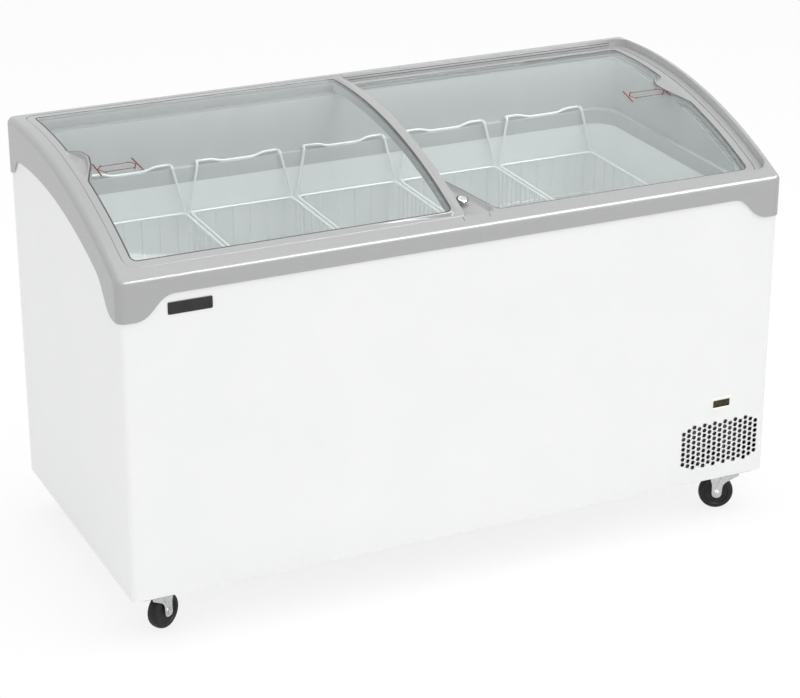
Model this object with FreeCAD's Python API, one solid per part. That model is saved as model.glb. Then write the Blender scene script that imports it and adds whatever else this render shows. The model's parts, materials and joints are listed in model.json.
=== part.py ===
import FreeCAD, Part
import math
import os

V = FreeCAD.Vector

# Cabinet, millimetres. X runs along the width, the front faces -Y, Z is up from the floor.
body_width = 1432.0
body_depth = 672.0
body_bottom = 97.0
body_corner = 12.0
sheet = 1.2
seat_gap = 0.3
cut_over = 1.0

# Moulded top frame: one arc from front to back, about an axis along X
frame_top = 895.0
crown_radius = 1225.0
crown_from_back = 119.0
frame_overhang = 4.0
frame_corner = 18.0
shoulder_radius = 14.0
frame_roof = 10.0
frame_wall = 4.0
left_rail = 25.5
right_rail = 12.0
front_rail = 25.0
back_rail = 24.0
pocket_corner = 26.0
track_ledge = 9.0
runout_strip = 17.0

# Lower edge of the frame: straight at front and back, an arc at the sides, a lobe at each corner
front_skirt = 35.0
front_lobe_drop = 47.0
front_lobe_flat = 28.0
front_lobe_run = 84.0
side_front_flat = 26.0
side_front_y = 118.0
side_edge_radius = 1000.0
side_edge_shift = 63.0
side_skirt = 75.5
back_skirt = 76.8
back_lobe_drop = 38.0
back_lobe_flat = 14.0
back_lobe_run = 62.0

# Sliding lids
lid_thickness = 12.0
lid_flush = 0.5
lid_offset = 16.0
lid_gap = 0.8
lid_overlap = 20.0
lid_corner = 24.0
lid_inner_corner = 8.0
lid_outer_stile = 16.0
lid_inner_stile = 20.0
lid_front_rail = 15.0
lid_back_rail = 17.0
glide_height = 1.5
glide_length = 46.0
glide_width = 6.0
glide_inset = 90.0
glide_margin = 1.0
glass_thickness = 4.0
glass_sunk = 1.0
glass_ledge = 5.0
glass_corner = 14.0
pull_length = 122.0
pull_middle_y = 10.0
pull_shoulder = 22.4
pull_reach = 32.0
pull_bulge = 30.0
pull_waist = 25.6
pull_round = 16.0
pull_border = 6.0
pull_depth = 6.5

# Lock in the widened corner of the lower lid
lock_web_x = 80.0
lock_web_y = 108.0
lock_web_round = 30.0
lock_from_stile = 22.0
lock_from_rail = 38.0
lock_radius = 9.0
lock_recess = 13.0
lock_sleeve_radius = 7.8
lock_plug_radius = 5.9
lock_web_depth = 9.0
lock_height = 12.0
lock_cam_length = 22.0
lock_cam_width = 9.0
lock_cam_thickness = 2.5
key_slot_length = 7.0
key_slot_width = 1.6
key_slot_depth = 3.0

# Throat and tub
throat_wall = 56.0
throat_front = 55.0
throat_back = 55.0
tub_wall = 67.0
tub_corner = 40.0
collar_wall = 4.0
ledge_drop = 4.55
front_hook_drop = 32.55
hook_seat = 2.0
tub_floor_rise = 66.0
machine_width = 302.0
machine_height = 250.0
machine_insulation = 62.0
back_lip = 30.0
base_thickness = 2.0

# Evaporator on the back of the tub, a flattened tube
coil_runs = 4
coil_end_gap = 90.0
coil_low_gap = 90.0
coil_top_gap = 134.0
coil_size = 8.0

# Vent and cable entry in the back
vent_width = 200.0
vent_height = 190.0
vent_slots = 9
vent_slot_height = 10.5
vent_lap = 12.0
vent_border = 10.0
vent_from_bulkhead = 26.0
vent_from_base = 30.0
gland_from_vent = 30.0
gland_height = 60.0
gland_radius = 7.0
gland_wall = 3.0
gland_flange = 4.0
gland_lip = 2.0
gland_length = 12.0

# Wire baskets
basket_count = 5
basket_side_gap = 41.5
basket_gap = 5.0
basket_hang = 62.0
basket_floor_gap = 16.0
basket_inset = 13.0
wire = 4.0
rim_wire = 6.0
basket_columns = 2
basket_rows = 4
handle_inset = 26.0
handle_clear = 4.0
handle_dip = 7.0
handle_dip_left = 35.0
handle_dip_right = 38.0
handle_slope = 22.0

# Air grille and thermometer in the front sheet
grille_columns = 15
grille_column_pitch = 12.64
grille_row_pitch = 11.7
grille_hole = 8.0
grille_side_count = 6
grille_right = 24.6
grille_rise = 84.0
grille_long_count = 9
thermo_right = 113.6
thermo_rise = 176.0
thermo_width = 48.0
thermo_height = 28.0
thermo_proud = 2.0
thermo_lens_width = 40.0
thermo_lens_height = 16.5
thermo_depth = 14.0
thermo_wall = 1.5
thermo_sunk = 0.6
thermo_lens_thickness = 3.0
thermo_corner = 4.0

# Castors
castor_inset_x = 54.0
castor_inset_y = 40.0
castor_size = 60.0
castor_chamfer = 6.0
castor_plate_thickness = 3.0
castor_trail = 30.0
castor_turn = {"front_left": 31.5, "front_right": 156.5, "back_left": -24.0, "back_right": 201.0}
race_radius = 20.0
race_height = 4.0
kingpin_radius = 5.0
rivet_radius = 9.0
rivet_height = 3.0
bore_gap = 0.3
fork_head = 4.0
fork_weld = 1.0
fork_head_radius = 25.0
fork_leg = 2.5
fork_gap = 1.5
fork_back = 16.0
fork_foot = 10.5
fork_ear = 7.0
wheel_radius = 37.5
wheel_width = 25.0
wheel_crown = 2.5
wheel_shoulder = 3.75
hub_radius = 9.0
axle_radius = 4.0
axle_head_radius = 7.0
axle_head = 4.0
axle_head_side_count = 6
pedal_pivot_x = 38.0
pedal_pivot_z = 80.0
pedal_pin_radius = 2.5
pedal_boss = 5.0
pedal_width = 22.0
pedal_reach = 42.0
pedal_thickness = 4.0
shoe_start = 12.0
shoe_end = 20.0
shoe_drop = 20.0
pedal_gap = 0.4

# Machinery
compressor_y = 110.0
compressor_radius = 72.0
compressor_height = 165.0
compressor_base_inset = 10.0
compressor_rim_height = 15.0
compressor_wall_drop = 46.0
compressor_shoulder_inset = 12.0
compressor_shoulder_drop = 16.5
compressor_cap_inset = 36.0
foot_radius = 11.0
foot_height = 14.0
foot_x = 66.0
foot_y = 48.0
relay_size = 28.0
relay_rise = 41.0
condenser_inset = 8.0
condenser_front = 26.0
condenser_width = 216.0
condenser_height = 170.0
condenser_depth = 44.0
condenser_core = 8.0
condenser_fins = 14
fin_thickness = 2.0
fan_from_condenser = 26.0
fan_shroud_height = 190.0
fan_radius = 74.0
fan_tip_gap = 4.0
fan_blades = 5
fan_blade_width = 34.0
fan_blade_thickness = 1.6
fan_blade_root = 2.0
fan_blade_angle = 30.0
fan_hub_radius = 20.0
fan_hub_length = 28.0
fan_motor_radius = 26.0
fan_motor_length = 44.0
fan_motor_gap = 4.0
fan_post_inset = 8.0
fan_shaft_radius = 3.0
tube_radius = 4.0
pipe_headroom = 36.0

seam_turn = 180.0

# Chords that stand for a rounded corner of the glass and the foam, and of the tub and the throat
corner_chord_count = 2
tub_chord_count = 2

# Sides of the many-sided sections that stand for small and large rounds
small_side_count = 12
large_side_count = 20

front = -body_depth / 2
back = body_depth / 2
left = -body_width / 2
right = body_width / 2
above = frame_top + frame_corner
crown_y = back - crown_from_back
axis_z = frame_top - crown_radius


def arc_height(rho, y):
    """Height, at that y, of the arc that lies rho from the axis."""
    return axis_z + math.sqrt(rho ** 2 - (y - crown_y) ** 2)


# Levels measured outward from the arc's axis
upper_lid_out = crown_radius - lid_flush
upper_lid_in = upper_lid_out - lid_thickness
upper_track = upper_lid_in - glide_height - seat_gap
lower_lid_out = upper_lid_out - lid_offset
lower_lid_in = lower_lid_out - lid_thickness
lower_track = lower_lid_in - glide_height - seat_gap
frame_under = lower_track - frame_wall

# Lid pockets and lids in plan
pocket_left = left + left_rail
pocket_right = right - right_rail
pocket_front = front + front_rail
pocket_back = back - back_rail
lower_right = pocket_right - runout_strip
lower_front = pocket_front + track_ledge
lower_back = pocket_back - track_ledge
lid_width = (lower_right - pocket_left - 2 * lid_gap + lid_overlap) / 2

# Lower edge of the frame
front_edge_z = arc_height(crown_radius, front - frame_overhang) - front_skirt
front_lobe_z = front_edge_z - front_lobe_drop
back_edge_z = arc_height(crown_radius, back + frame_overhang) - back_skirt
back_lobe_z = back_edge_z - back_lobe_drop
side_edge_top = frame_top - side_skirt
side_edge_crown_y = crown_y - side_edge_shift

# Throat, tub and machine space
throat_x = body_width / 2 - throat_wall
throat_low = front + throat_front
throat_high = back - throat_back
throat_front_z = arc_height(frame_under, throat_low)
hook_ledge_z = throat_front_z - ledge_drop
front_hook_z = throat_front_z - front_hook_drop
tub_x = body_width / 2 - tub_wall
tub_y = body_depth / 2 - tub_wall
tub_top = front_hook_z - hook_seat
tub_floor = body_bottom + tub_floor_rise
base_top = body_bottom + base_thickness
machine_left = right - machine_width
machine_top = base_top + machine_height
step_x = machine_left - machine_insulation
step_z = machine_top + machine_insulation

# Baskets, side by side between the ends of the tub
basket_pitch = (2 * tub_x - 2 * basket_side_gap) / basket_count
basket_width = basket_pitch - basket_gap
basket_rim_z = front_hook_z - basket_hang
basket_height = basket_rim_z - step_z - basket_floor_gap
handle_width = basket_width - 2 * handle_inset

# Fittings in the front and the back
grille_middle_z = body_bottom + grille_rise
thermo_z = body_bottom + thermo_rise
vent_x = machine_left + vent_from_bulkhead + vent_width / 2
vent_z = body_bottom + vent_from_base
gland_x = vent_x + vent_width / 2 + gland_from_vent
gland_z = body_bottom + gland_height


def box(x0, x1, y0, y1, z0, z1):
    return Part.makeBox(x1 - x0, y1 - y0, z1 - z0, V(x0, y0, z0))


def rounded_wire(corners, z=0.0, chords=0):
    """Closed outline through (x, y, radius) corners, with a tangent arc at each corner, or with
    that many chords in the arc's place."""
    points = [V(x, y, z) for x, y, radius in corners]
    ends = []
    for i, (x, y, radius) in enumerate(corners):
        here = points[i]
        before = (points[i - 1] - here).normalize()
        after = (points[(i + 1) % len(points)] - here).normalize()
        if radius <= 0:
            ends.append([here])
            continue
        half = before.getAngle(after) / 2
        middle = (before + after).normalize()
        centre = here + middle * (radius / math.sin(half))
        start = here + before * (radius / math.tan(half))
        sweep = math.degrees(math.pi - 2 * half)
        if before.cross(after).z > 0:
            sweep = -sweep
        steps = chords or 2
        spoke = start - centre
        ends.append([centre + FreeCAD.Rotation(V(0, 0, 1), sweep * k / steps).multVec(spoke)
                     for k in range(steps + 1)])
    edges = []
    for i, spots in enumerate(ends):
        if len(spots) == 3 and not chords:
            edges.append(Part.Arc(*spots).toShape())
        else:
            edges += [Part.LineSegment(a, b).toShape() for a, b in zip(spots, spots[1:])]
        following = ends[(i + 1) % len(ends)][0]
        if spots[-1].distanceToPoint(following) > 1e-6:
            edges.append(Part.LineSegment(spots[-1], following).toShape())
    return Part.Wire(edges)


def rectangle(x0, x1, y0, y1, radius):
    return [(x0, y0, radius), (x1, y0, radius), (x1, y1, radius), (x0, y1, radius)]


def prism(corners, z0, z1, chords=0):
    """Upright solid over a rounded outline."""
    return Part.Face(rounded_wire(corners, z0, chords)).extrude(V(0, 0, z1 - z0))


def grown(corners, step):
    """The same outline in chords as a face at z 0, moved outwards by step, or inwards if it is negative."""
    face = Part.Face(rounded_wire(corners, 0.0, corner_chord_count))
    return face.makeOffset2D(step, 2) if step else face


def raise_face(face, z0, z1):
    lifted = face.copy()
    lifted.translate(V(0, 0, z0))
    return lifted.extrude(V(0, 0, z1 - z0))


def inside_arc(rho):
    """Everything nearer than rho to the axis of the lids' arc, with the seam of its surface below."""
    axis = V(left - body_width, crown_y, axis_z)
    drum = Part.makeCylinder(rho, 3 * body_width, axis, V(1, 0, 0))
    drum.rotate(axis, V(1, 0, 0), seam_turn)
    return drum


def between_arcs(solid, rho_in, rho_out):
    return solid.common(inside_arc(rho_out)).cut(inside_arc(rho_in))


def ring(centre, along, radius, sides, turn=0.0):
    """Regular polygon square to the direction along, with its corners on the radius, turned by steps."""
    square = V(0, 0, 1) if abs(along.z) < abs(along.y) else V(1, 0, 0)
    spoke = along.cross(square).normalize() * radius
    turns = [FreeCAD.Rotation(along, 360.0 * (i + turn) / sides) for i in range(sides)]
    spots = [centre + step.multVec(spoke) for step in turns]
    return Part.makePolygon(spots + spots[:1])


def rod(start, end, radius, sides=small_side_count):
    """Straight bar of many-sided section."""
    return Part.Face(ring(start, end - start, radius, sides)).extrude(end - start)


def stacked(rings):
    """Solid of flat faces through a row of matching polygons."""
    faces = [Part.Face(rings[0]), Part.Face(rings[-1])]
    for low, high in zip(rings, rings[1:]):
        a = [vertex.Point for vertex in low.OrderedVertexes]
        b = [vertex.Point for vertex in high.OrderedVertexes]
        for i in range(len(a)):
            spots = [a[i - 1], a[i], b[i], b[i - 1], a[i - 1]]
            faces.append(Part.Face(Part.makePolygon(spots)))
    solid = Part.Solid(Part.Shell(faces))
    if solid.Volume < 0:
        solid.reverse()
    return solid


def bore(start, end, radius, sides=small_side_count):
    """Cutter like a rod, with its flats on the radius, so that a rod of that radius turns in it."""
    return rod(start, end, radius / math.cos(math.pi / sides), sides)


def flat_bar(start, end, wide, thick):
    """Straight bar; wide and thick are its two other edges as vectors."""
    first = start - wide / 2 - thick / 2
    spots = [first, first + wide, first + wide + thick, first + thick, first]
    return Part.Face(Part.makePolygon(spots)).extrude(end - start)


def fuse_all(shapes):
    return shapes[0].multiFuse(shapes[1:]).removeSplitter()


def save(name, shape):
    shape.exportStep("parts/" + name + ".step")


def ease_curve(start, end, start_slope, end_slope=0.0):
    """Smooth S from start to end, two (u, v) points, leaving and arriving at the given slopes."""
    reach = (end[0] - start[0]) / 2
    return [start, (start[0] + reach, start[1] + reach * start_slope),
            (end[0] - reach, end[1] - reach * end_slope), end]


def lower_edge_cut(chain, z_low, place, sweep):
    """Solid below a chain of lines, arcs and eases; place turns (u, v) into a point."""
    edges = []
    for kind, points in chain:
        spots = [place(u, v) for u, v in points]
        if kind == "line":
            edges.append(Part.LineSegment(spots[0], spots[1]).toShape())
        elif kind == "arc":
            edges.append(Part.Arc(*spots).toShape())
        else:
            curve = Part.BezierCurve()
            curve.setPoles(spots)
            edges.append(curve.toShape())
    first = chain[0][1][0]
    last = chain[-1][1][-1]
    floor = [place(*last), place(last[0], z_low), place(first[0], z_low), place(*first)]
    for a, b in zip(floor, floor[1:]):
        edges.append(Part.LineSegment(a, b).toShape())
    return Part.Face(Part.Wire(edges)).extrude(sweep)


def straight_edge_chain(edge_z, lobe_z, flat, run):
    """Front or back view of the frame's lower edge: a lobe at each end of a straight edge."""
    end = body_width / 2 + 3 * frame_overhang
    inner = body_width / 2 - flat
    top = inner - run
    return [("line", [(-end, lobe_z), (-inner, lobe_z)]),
            ("ease", ease_curve((-inner, lobe_z), (-top, edge_z), 0.0)),
            ("line", [(-top, edge_z), (top, edge_z)]),
            ("ease", ease_curve((top, edge_z), (inner, lobe_z), 0.0)),
            ("line", [(inner, lobe_z), (end, lobe_z)])]


def side_edge_chain():
    """Side view of the frame's lower edge: the arc between the front and back lobes."""
    def edge(y):
        drop = side_edge_radius - math.sqrt(side_edge_radius ** 2 - (y - side_edge_crown_y) ** 2)
        return (y, side_edge_top - drop)

    def slope(y):
        return (side_edge_crown_y - y) / math.sqrt(side_edge_radius ** 2 - (y - side_edge_crown_y) ** 2)

    start = front + side_front_y
    stop = back - back_lobe_flat - back_lobe_run
    flat_front = (front + side_front_flat, front_lobe_z)
    flat_back = (back - back_lobe_flat, back_lobe_z)
    far = 3 * frame_overhang
    return [("line", [(front - far, front_lobe_z), flat_front]),
            ("ease", ease_curve(flat_front, edge(start), 0.0, slope(start))),
            ("arc", [edge(start), edge((start + stop) / 2), edge(stop)]),
            ("ease", ease_curve(edge(stop), flat_back, slope(stop))),
            ("line", [flat_back, (back + far, back_lobe_z)])]


# Shared spaces: the hollow under the frame, which the sheets and the foam fill
def pocket_walls(low_z):
    """Block that the frame's pocket is cut into, down to its lowest tracks."""
    outline = rectangle(pocket_left - frame_wall, pocket_right + frame_wall, pocket_front - frame_wall,
                        pocket_back + frame_wall, pocket_corner + frame_wall)
    return prism(outline, low_z, above, corner_chord_count).cut(inside_arc(frame_under))


def frame_hollow(inset):
    """Space inside the frame, inset from the cabinet's outer faces, below its roof and pocket walls."""
    corner = max(body_corner - inset, 1.0)
    plan = rectangle(left + inset, right - inset, front + inset, back - inset, corner)
    space = prism(plan, body_bottom, above).common(inside_arc(crown_radius - frame_roof))
    return space.cut(pocket_walls(body_bottom))


def throat_plan(grow):
    return rectangle(-throat_x - grow, throat_x + grow, throat_low - grow, throat_high + grow,
                     tub_corner + grow)


def tub_plan(grow):
    return rectangle(-tub_x - grow, tub_x + grow, -tub_y - grow, tub_y + grow, tub_corner + grow)


def top_frame():
    low_z = front_lobe_z - frame_corner
    far = 3 * frame_overhang
    plan = rectangle(left - frame_overhang, right + frame_overhang, front - frame_overhang,
                     back + frame_overhang, frame_corner)
    block = prism(plan, low_z, above).common(inside_arc(crown_radius))
    crown = max(block.Faces, key=lambda face: face.BoundBox.Center.z)
    block = block.makeFillet(shoulder_radius, crown.Edges)
    wide = rectangle(left - seat_gap, right + seat_gap, front - seat_gap, back + seat_gap, body_corner)
    low = prism(wide, low_z, above).common(inside_arc(crown_radius - frame_roof))
    frame = block.cut(low.cut(pocket_walls(low_z)))
    upper = rectangle(pocket_left, pocket_right, pocket_front, pocket_back, pocket_corner)
    strip = rectangle(pocket_left, pocket_right, lower_front, lower_back, pocket_corner)
    lower = rectangle(pocket_left, lower_right, lower_front, lower_back, pocket_corner)
    for outline, floor in ((upper, upper_track), (strip, lower_lid_out), (lower, lower_track)):
        frame = frame.cut(prism(outline, low_z, above).cut(inside_arc(floor)))
    frame = frame.cut(prism(throat_plan(0.0), low_z, above, tub_chord_count))
    side = lower_edge_cut(side_edge_chain(), low_z, lambda u, v: V(left - far, u, v),
                          V(body_width + 2 * far, 0, 0))
    face = straight_edge_chain(front_edge_z, front_lobe_z, front_lobe_flat, front_lobe_run)
    rear = straight_edge_chain(back_edge_z, back_lobe_z, back_lobe_flat, back_lobe_run)
    front_cut = lower_edge_cut(face, low_z, lambda u, v: V(u, front - far, v), V(0, far + body_corner, 0))
    back_cut = lower_edge_cut(rear, low_z, lambda u, v: V(u, back - body_corner, v),
                              V(0, far + body_corner, 0))
    return frame.cut(side).cut(front_cut).cut(back_cut)


# Cabinet sheets
def cabinet_sheet():
    """Sheet round the cabinet, open at the back between two lips."""
    return frame_hollow(0.0).cut(frame_hollow(sheet)).cut(back_opening(0.0))


def front_zone():
    """Space of the flat front, between the rounded corners that the sides take with them."""
    reach = body_width / 2 - body_corner
    return box(-reach, reach, front - cut_over, front + body_corner, body_bottom - cut_over, above)


def back_opening(edge):
    reach = body_width / 2 - back_lip - edge
    return box(-reach, reach, back - sheet, back, body_bottom + edge, above)


def grille_holes():
    """Columns of holes on alternate rows, with the end columns shorter."""
    holes = []
    first_x = right - grille_right - (grille_columns - 1) * grille_column_pitch
    for column in range(grille_columns):
        at_end = column in (0, grille_columns - 1)
        count = grille_long_count - 2 if at_end else grille_long_count - column % 2
        x = first_x + column * grille_column_pitch
        for row in range(count):
            z = grille_middle_z + (row - (count - 1) / 2) * grille_row_pitch
            holes.append(rod(V(x, front - cut_over, z), V(x, front + sheet + cut_over, z), grille_hole / 2,
                             grille_side_count))
    return holes


def front_panel():
    holes = grille_holes() + [thermo_case(seat_gap, front - cut_over, front + sheet + cut_over)]
    return cabinet_sheet().common(front_zone()).cut(Part.makeCompound(holes))


def side_panel(way):
    """Left side for -1, right side for 1."""
    inner, outer = sorted((0.0, way * body_width))
    half = box(inner, outer, -body_depth, body_depth, 0.0, above)
    return cabinet_sheet().cut(front_zone()).common(half)


def vent_hole():
    return box(vent_x - vent_width / 2, vent_x + vent_width / 2, back - sheet - cut_over, back + cut_over,
               vent_z, vent_z + vent_height)


def gland_hole(radius):
    return bore(V(gland_x, back - sheet - cut_over, gland_z), V(gland_x, back + cut_over, gland_z), radius)


def back_panel():
    flat = frame_hollow(0.0).common(back_opening(seat_gap))
    return flat.cut(vent_hole()).cut(gland_hole(gland_radius + seat_gap))


def vent_cover():
    cover = box(vent_x - vent_width / 2 - vent_lap, vent_x + vent_width / 2 + vent_lap, back,
                back + sheet, vent_z - vent_lap, vent_z + vent_height + vent_lap)
    pitch = vent_height / vent_slots
    reach = vent_width / 2 - vent_border
    slots = []
    for row in range(vent_slots):
        low = vent_z + (row + 0.5) * pitch - vent_slot_height / 2
        slots.append(box(vent_x - reach, vent_x + reach, back - cut_over, back + sheet + cut_over,
                         low, low + vent_slot_height))
    return cover.cut(Part.makeCompound(slots))


def cable_gland():
    inner = V(gland_x, back - gland_length, gland_z)
    face = V(gland_x, back, gland_z)
    outer = V(gland_x, back + gland_lip, gland_z)
    barrel = rod(inner, face, gland_radius)
    flange = rod(face, outer, gland_radius + gland_flange)
    return barrel.fuse(flange).removeSplitter().cut(rod(inner, outer, gland_radius - gland_wall))


def base_pan():
    plan = rectangle(left + sheet, right - sheet, front + sheet, back - sheet, body_corner - sheet)
    return prism(plan, body_bottom, base_top, corner_chord_count)


# Tub, throat and insulation
def tub_block(grow, top):
    block = prism(tub_plan(grow), tub_floor - grow, top, tub_chord_count)
    step = box(step_x + grow, right, front, back, body_bottom, step_z - grow)
    return block.cut(step)


def panels(inner, outer, z0, z1):
    """Wall between two matching outlines, as one upright panel for each straight run and corner chord."""
    spots = [[vertex.Point for vertex in rounded_wire(corners, z0, tub_chord_count).OrderedVertexes]
             for corners in (inner, outer)]
    walls = []
    for i in range(len(spots[0])):
        foot = Part.makePolygon([spots[0][i - 1], spots[0][i], spots[1][i], spots[1][i - 1], spots[0][i - 1]])
        walls.append(Part.Face(foot).extrude(V(0, 0, z1 - z0)))
    return walls


def inner_liner():
    """Stepped tub of sheet panels: the deep part, the part over the machine space, and their floors."""
    deep = [[(-tub_x - g, -tub_y - g, tub_corner + g), (step_x + g, -tub_y - g, 0),
             (step_x + g, tub_y + g, 0), (-tub_x - g, tub_y + g, tub_corner + g)] for g in (0.0, sheet)]
    shelf = [(step_x + sheet, -tub_y - sheet, 0), (tub_x + sheet, -tub_y - sheet, tub_corner + sheet),
             (tub_x + sheet, tub_y + sheet, tub_corner + sheet), (step_x + sheet, tub_y + sheet, 0)]
    solids = panels(deep[0], deep[1], tub_floor, step_z)
    solids += panels(tub_plan(0.0), tub_plan(sheet), step_z, tub_top)
    solids.append(prism(deep[1], tub_floor - sheet, tub_floor, tub_chord_count))
    solids.append(prism(shelf, step_z - sheet, step_z, tub_chord_count))
    return Part.makeCompound(solids)


def inner_collar():
    """Strips that line the throat, over a thicker row whose top is the ledge; at the front the ledge
    lies lower along the straight run, and the strip above it reaches down to it."""
    solids = []
    roof = inside_arc(frame_under)
    for wall in panels(throat_plan(0.0), throat_plan(collar_wall), hook_ledge_z, above):
        solids.append(wall.common(roof))
    for wall in panels(tub_plan(0.0), throat_plan(collar_wall), tub_top, hook_ledge_z):
        spot = wall.BoundBox
        if spot.XLength > tub_x and spot.YMax < 0:
            low = box(left, right, front, back, tub_top, front_hook_z)
            strip = box(left, right, front, throat_low, front_hook_z, hook_ledge_z)
            solids += [wall.common(low), wall.common(strip)]
        else:
            solids.append(wall)
    return Part.makeCompound(solids)


def coil_path():
    """Level runs from the bottom up, joined at alternate ends."""
    x0 = -tub_x + coil_end_gap
    x1 = step_x - coil_end_gap
    y = tub_y + sheet + coil_size / 2
    pitch = (tub_top - tub_floor - coil_low_gap - coil_top_gap) / (coil_runs - 1)
    path = []
    for run in range(coil_runs):
        ends = [x0, x1]
        z = tub_floor + coil_low_gap + run * pitch
        path += [V(x, y, z) for x in (ends if run % 2 == 0 else ends[::-1])]
    return path


def coil_pocket():
    """Groove in the foam: the box round the whole coil."""
    path = coil_path()
    reach = coil_size / 2
    return box(path[0].x - reach, path[1].x + reach, path[0].y - reach, path[0].y + reach,
               path[0].z - reach, path[-1].z + reach)


def evaporator_coil():
    path = coil_path()
    h = coil_size / 2
    spots = [path[0] + V(0, i * h, j * h) for i, j in ((-1, -1), (1, -1), (1, 1), (-1, 1), (-1, -1))]
    return Part.makePolygon(path).makePipeShell([Part.makePolygon(spots)], True, False, 1)


def bulkhead():
    """Bent sheet between the machine space and the insulation."""
    outer = box(machine_left, right - sheet, front + sheet, back - sheet, base_top, machine_top)
    inner = box(machine_left + sheet, right - sheet, front + sheet, back - sheet, body_bottom,
                machine_top - sheet)
    return outer.common(frame_hollow(sheet)).cut(inner)


def insulation_foam():
    foam = frame_hollow(sheet).cut(box(left, right, front, back, 0, base_top))
    foam = foam.cut(box(machine_left, right, front, back, 0, machine_top))
    throat = prism(throat_plan(collar_wall), tub_top, above, tub_chord_count)
    foam = foam.cut(tub_block(sheet, tub_top)).cut(throat)
    return foam.cut(coil_pocket())


# Front fittings
def upright_plate(corners, y0, y1):
    """Plate over an (x, z) outline, standing from y0 to y1."""
    points = [(x, -z, radius) for x, z, radius in corners]
    plate = prism(points, y0, y1)
    plate.rotate(V(0, 0, 0), V(1, 0, 0), -90)
    return plate


def thermo_box(half_x, half_z, y0, y1):
    x = right - thermo_right
    return box(x - half_x, x + half_x, y0, y1, thermo_z - half_z, thermo_z + half_z)


def thermo_case(grow, y0, y1):
    return thermo_box(thermo_lens_width / 2 + thermo_wall + grow, thermo_lens_height / 2 + thermo_wall + grow,
                      y0, y1)


def thermo_lens():
    return thermo_box(thermo_lens_width / 2 - seat_gap, thermo_lens_height / 2 - seat_gap,
                      front - thermo_proud + thermo_sunk, front + thermo_lens_thickness)


def thermo_bezel():
    x = right - thermo_right
    outline = rectangle(x - thermo_width / 2, x + thermo_width / 2, thermo_z - thermo_height / 2,
                        thermo_z + thermo_height / 2, thermo_corner)
    plate = upright_plate(outline, front - thermo_proud, front)
    body = plate.fuse(thermo_case(0.0, front, front + thermo_depth)).removeSplitter()
    return body.cut(thermo_box(thermo_lens_width / 2, thermo_lens_height / 2, front - thermo_proud - cut_over,
                               front + thermo_lens_thickness))


# Lids
def lid_edges(upper):
    """Left, right, front and back of a lid in plan."""
    x0 = pocket_left + lid_gap if upper else lower_right - lid_gap - lid_width
    y0 = (pocket_front if upper else lower_front) + lid_gap
    y1 = (pocket_back if upper else lower_back) - lid_gap
    return x0, x0 + lid_width, y0, y1


def lid_outline(upper):
    x0, x1, y0, y1 = lid_edges(upper)
    r0 = lid_corner if upper else lid_inner_corner
    r1 = lid_inner_corner if upper else lid_corner
    return [(x0, y0, r0), (x1, y0, r1), (x1, y1, r1), (x0, y1, r0)]


def pull_corners(upper, border):
    """Finger pull in the outer stile, drawn border inside the edge of the glass."""
    x0, x1, y0, y1 = lid_edges(upper)
    edge, way = (x0 + lid_outer_stile, 1) if upper else (x1 - lid_outer_stile, -1)
    top = pull_middle_y + pull_length / 2
    r = pull_round - border
    return [(edge, top - border, r / 2), (edge + way * (pull_shoulder - border), top - border, r),
            (edge + way * (pull_reach - border), top - pull_bulge, r),
            (edge + way * (pull_waist - border), pull_middle_y, r),
            (edge, top - pull_length + 3 * border, r)]


def glass_outline(upper):
    """Edge of the glass: it steps round the finger pull, and round the lock on the lower lid."""
    x0, x1, y0, y1 = lid_edges(upper)
    low = y0 + lid_front_rail
    high = y1 - lid_back_rail
    pull = pull_corners(upper, 0.0)
    edge = pull[0][0]
    near = [(edge, high, glass_corner)] + pull + [(edge, low, glass_corner)]
    if upper:
        far = x1 - lid_inner_stile
        return [(far, low, glass_corner), (far, high, glass_corner)] + near
    far = x0 + lid_inner_stile
    return [(far + lock_web_x, low, lock_web_round), (far, low + lock_web_y, lock_web_round),
            (far, high, glass_corner)] + near


def lid_levels(upper):
    return (upper_lid_in, upper_lid_out) if upper else (lower_lid_in, lower_lid_out)


def lock_centre():
    x0, x1, y0, y1 = lid_edges(False)
    return x0 + lid_inner_stile + lock_from_stile, y0 + lid_front_rail + lock_from_rail


def lock_axis():
    """Outward direction at the lock, square to the lid."""
    x, y = lock_centre()
    return V(0, y - crown_y, arc_height(lower_lid_out, y) - axis_z).normalize()


def on_lock_axis(rho):
    x, y = lock_centre()
    return V(x, crown_y, axis_z) + lock_axis() * rho


def lid_frame(upper):
    rho_in, rho_out = lid_levels(upper)
    lid = between_arcs(prism(lid_outline(upper), axis_z, above), rho_in, rho_out)
    hole = raise_face(grown(glass_outline(upper), -glass_ledge), axis_z, above)
    rebate = raise_face(grown(glass_outline(upper), seat_gap), axis_z, above)
    pull = prism(pull_corners(upper, pull_border), axis_z, above, corner_chord_count)
    lid = lid.cut(hole).cut(rebate.cut(inside_arc(rho_out - glass_sunk - glass_thickness)))
    lid = lid.cut(pull.cut(inside_arc(rho_out - pull_depth)))
    if not upper:
        top = on_lock_axis(rho_out + lid_thickness)
        recess = rod(on_lock_axis(rho_out - lock_web_depth), top, lock_recess)
        shaft = rod(on_lock_axis(rho_in - lid_thickness), top, lock_sleeve_radius + seat_gap)
        lid = lid.cut(recess).cut(shaft)
    return lid


def lid_glass(upper):
    rho_out = lid_levels(upper)[1] - glass_sunk
    pane = raise_face(grown(glass_outline(upper), 0.0), axis_z, above)
    return between_arcs(pane, rho_out - glass_thickness, rho_out)


def lid_gliders(upper):
    x0, x1, y0, y1 = lid_edges(upper)
    rho_in = lid_levels(upper)[0]
    pads = []
    for x in (x0 + glide_inset, x1 - glide_inset):
        for y in (y0 + glide_margin, y1 - glide_margin - glide_width):
            pad = box(x - glide_length / 2, x + glide_length / 2, y, y + glide_width, axis_z, above)
            pads.append(between_arcs(pad, rho_in - glide_height, rho_in))
    return Part.makeCompound(pads)


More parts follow.
